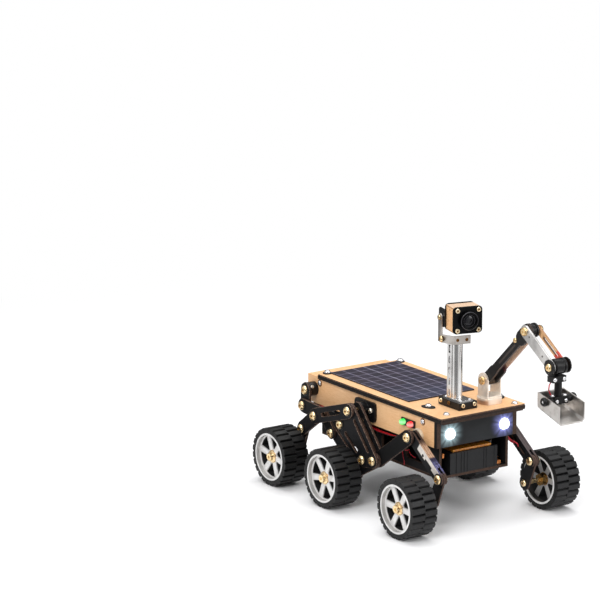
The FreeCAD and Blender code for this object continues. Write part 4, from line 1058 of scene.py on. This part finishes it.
# Arm: a nickelled turning foot and ears on the deck. The upper arm is a black plate and
# a ply strip, the forearm a bright plate and a ply strip. Brass pins join them, with
# black drums at elbow and wrist.
shoulder = (55.5, 148.0)
elbow = (126.0, 216.0)
wrist = (170.0, 187.0)
upper_way = (0.72, 0.694)
fore_way = (0.835, -0.55)
arm_y = 27.1


def nickel_look(place, normal):
    """Satin nickel, warm where the deck shows in it."""
    marks = place.noise(0.8, 4.0, 0.65)
    cloud = place.noise(0.11, 2.0)
    tone = cloud.rise(0.4, 0.8).blend(paint(238, 228, 216), paint(214, 196, 178))
    warm = (0 - normal.axes()[1]).rise(0.45, 0.85) * place.axes()[2].rise(128.5, 126.0)
    tone = (warm * 0.8).blend(tone, paint(150, 102, 60))
    return {"Base Color": tone, "Metallic": 0.45 + 0.1 * cloud, "Roughness": 0.24 + 0.14 * marks,
            "bump": (marks, 0.01)}


def upper_look(place, normal):
    """Stained plate with a slot along it, and the moulded drum at the elbow."""
    y = place.axes()[1]
    along, across = from_pin(place, shoulder, upper_way)
    edge = abs(normal.axes()[1]).rise(0.8, 0.45)
    drum = y.rise(22.9, 23.1)
    grit = place.noise(0.8, 4.0, 0.65)
    brown = cut_edge(y, paint(70, 54, 46), paint(30, 23, 20))[1]
    slot = abs(across).rise(1.3, 0.9) * along.rise(34.0, 35.0) * along.rise(72.0, 71.0)
    slot = slot * (1 - edge) * (1 - drum)
    ring = abs(y - arm_y).rise(1.4, 0.9) * drum
    tone = grit.rise(0.3, 0.75).blend(paint(12, 12, 13), paint(22, 22, 24))
    tone = (edge * (1 - drum)).blend(tone, brown)
    tone = (slot * 0.8).blend(tone, paint(66, 58, 54))
    tone = ring.blend(tone, paint(5, 5, 5))
    return {"Base Color": tone, "Roughness": 0.42 + 0.14 * grit - drum * 0.2,
            "bump": (grit * 0.3 - slot - ring, 0.1)}


def far_look(place, normal):
    """Bare ply strip, its lower end in a dark sleeve with a red wrap."""
    along = from_pin(place, shoulder, upper_way)[0]
    edge = abs(normal.axes()[1]).rise(0.8, 0.45)
    grit = place.noise(0.5, 4.0, 0.65)
    wrap = along.rise(21.5, 22.5) * along.rise(30.5, 29.5)
    tone = grit.rise(0.3, 0.7).blend(paint(196, 156, 130), paint(222, 188, 160))
    tone = (edge * 0.6).blend(tone, paint(120, 82, 64))
    tone = along.rise(27.4, 26.4).blend(tone, paint(28, 26, 27))
    tone = (wrap * 0.8).blend(tone, paint(76, 20, 22))
    return {"Base Color": tone, "Roughness": 0.45 + 0.15 * grit, "bump": (grit, 0.04)}


def pin_look(place, normal):
    """Brass on the near side, dark nickel where the pin ends beyond the far plate."""
    marks = place.noise(0.8, 4.0, 0.65)
    bright = marks.rise(0.3, 0.7).blend(paint(236, 200, 140), paint(190, 144, 80))
    tone = place.axes()[1].rise(20.6, 21.2).blend(bright, paint(70, 58, 50))
    return {"Base Color": tone, "Roughness": 0.2 + 0.16 * marks, "bump": (marks, 0.02)}


def plate_look(place, normal):
    """Brushed plate with three small drilled holes."""
    x, y, z = place.axes()
    marks = place.times((0.5, 0.5, 0.04)).noise(1.2, 4.0, 0.65)
    cloud = place.noise(0.06, 3.0)
    drilled = 0
    for along, lift in ((9.5, 1.0), (36.0, -0.5), (43.5, -0.5)):
        dx = x - (elbow[0] + along * fore_way[0])
        dz = z - (elbow[1] + along * fore_way[1] + lift)
        drilled = drilled + dx.length(dz).rise(1.3, 0.9)
    drilled = drilled * abs(normal.axes()[1]).rise(0.7, 0.9)
    tone = cloud.rise(0.35, 0.7).blend(paint(210, 208, 206), paint(168, 166, 164))
    tone = drilled.blend(tone, paint(46, 40, 36))
    return {"Base Color": tone, "Metallic": 0.75 - 0.6 * drilled, "Roughness": 0.26 + 0.12 * marks,
            "bump": (marks * 0.2 - drilled, 0.02)}


def strip_look(place, normal):
    """Ply strip with a scorched slot and edges, and a red wrap by the wrist."""
    tone, grain, fleck = ply_face(place, 2)
    along, across = from_pin(place, elbow, fore_way)
    edge = abs(normal.axes()[1]).rise(0.8, 0.45)
    burnt = abs(across).rise(2.7, 1.3) * along.rise(9.0, 13.0) * along.rise(42.0, 38.0)
    wrap = along.rise(35.5, 36.5) * along.rise(45.5, 44.5)
    tone = (edge * 0.75).blend(tone, paint(116, 76, 50))
    tone = (burnt * 0.75).blend(tone, paint(60, 40, 32))
    tone = (wrap * 0.85).blend(tone, paint(190, 30, 28))
    return {"Base Color": tone, "Roughness": 0.42 + 0.2 * grain, "bump": (grain + fleck * 0.3, 0.05)}


nickel = finish("nickel plate", nickel_look)
arm_brass = finish("arm pins", pin_look, Metallic=1.0)
dress("arm_foot", nickel, 0.3)
dress("arm_fork", nickel, 0.25)
dress("upper_arm_near", finish("upper arm plate", upper_look, Specular_IOR_Level=0.28), 0.3)
dress("upper_arm_far", finish("far arm ply", far_look), 0.3)
dress("shoulder_pin", arm_brass, 0.25)
dress("elbow_pin", arm_brass, 0.25)
dress("forearm_near", finish("forearm plate", plate_look), 0.25)
dress("forearm_far", finish("forearm ply", strip_look), 0.25)
dress("wrist_drum", black_plastic, 0.35)
dress("scoop_yoke", black_plastic, 0.3)
for name, body, (x, z), y, radius in (
        ("shoulder_domes", "upper_arm", shoulder, 9.65, 4.6), ("elbow_domes", "forearm", elbow, 9.85, 4.6),
        ("wrist_domes", "wrist", wrist, 11.8, 4.4)):
    arm_domes = Form()
    for side in (-1, 1):
        arm_domes.button((x, arm_y + side * y, z), (0, side, 0), radius, 2.6, 1.7, 30)
    arm_domes.piece(name, brass, body)
arm_screw = Form()
arm_screw.button((107.0, arm_y - 7.0, 202.3), (0, -1, 0), 2.8, 1.5, 1.1)
arm_screw.piece("upper_arm_screws", brass, "upper_arm")


# Scoop: folded aluminium sheet on a black yoke, with a capped socket screw each side.
# Steel screws show in the collar above the yoke and in the yoke's block.
folded = metal("scoop sheet", paint(204, 200, 196), paint(168, 162, 155), 0.24, (0.1, 0.9, 0.9), 1.2, 0.004)
dress("scoop", folded, 0.2)
cap_socket = [(2.0, 1.3, True), (1.9, 2.4, True), (1.1, 2.8), (0.3, 2.9)]
caps = Form()
cap_screws = Form()
for side in (-1, 1):
    seat = (171.0, 28.0 + side * 18.6, 151.6)
    caps.button(seat, (0, side, 0), 4.8, 3.4, 2.2, 30)
    cap_screws.turned(cap_socket, seat, (0, side, 0))
caps.piece("scoop_caps", black_plastic, "wrist")
collar_screws = Form()
for seats, axis, radius, height, hole in (
        (((176.0, 18.8, 174.5), (176.0, 30.8, 174.5)), (1, 0, 0), 2.3, 1.3, 1.0),
        (((175.8, 22.2, 151.0), (175.8, 33.8, 151.0)), (1, 0, 0), 2.0, 1.4, 0.9),
        (((169.0, 21.6, 155.6), (172.5, 34.6, 155.6)), (0, 0, 1), 2.4, 1.5, 1.1)):
    for seat in seats:
        collar_screws.button(seat, axis, radius, height, hole)
collar_screws.piece("collar_screws", steel, "wrist")
cap_screws.piece("cap_screws", steel, "wrist")


low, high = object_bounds()
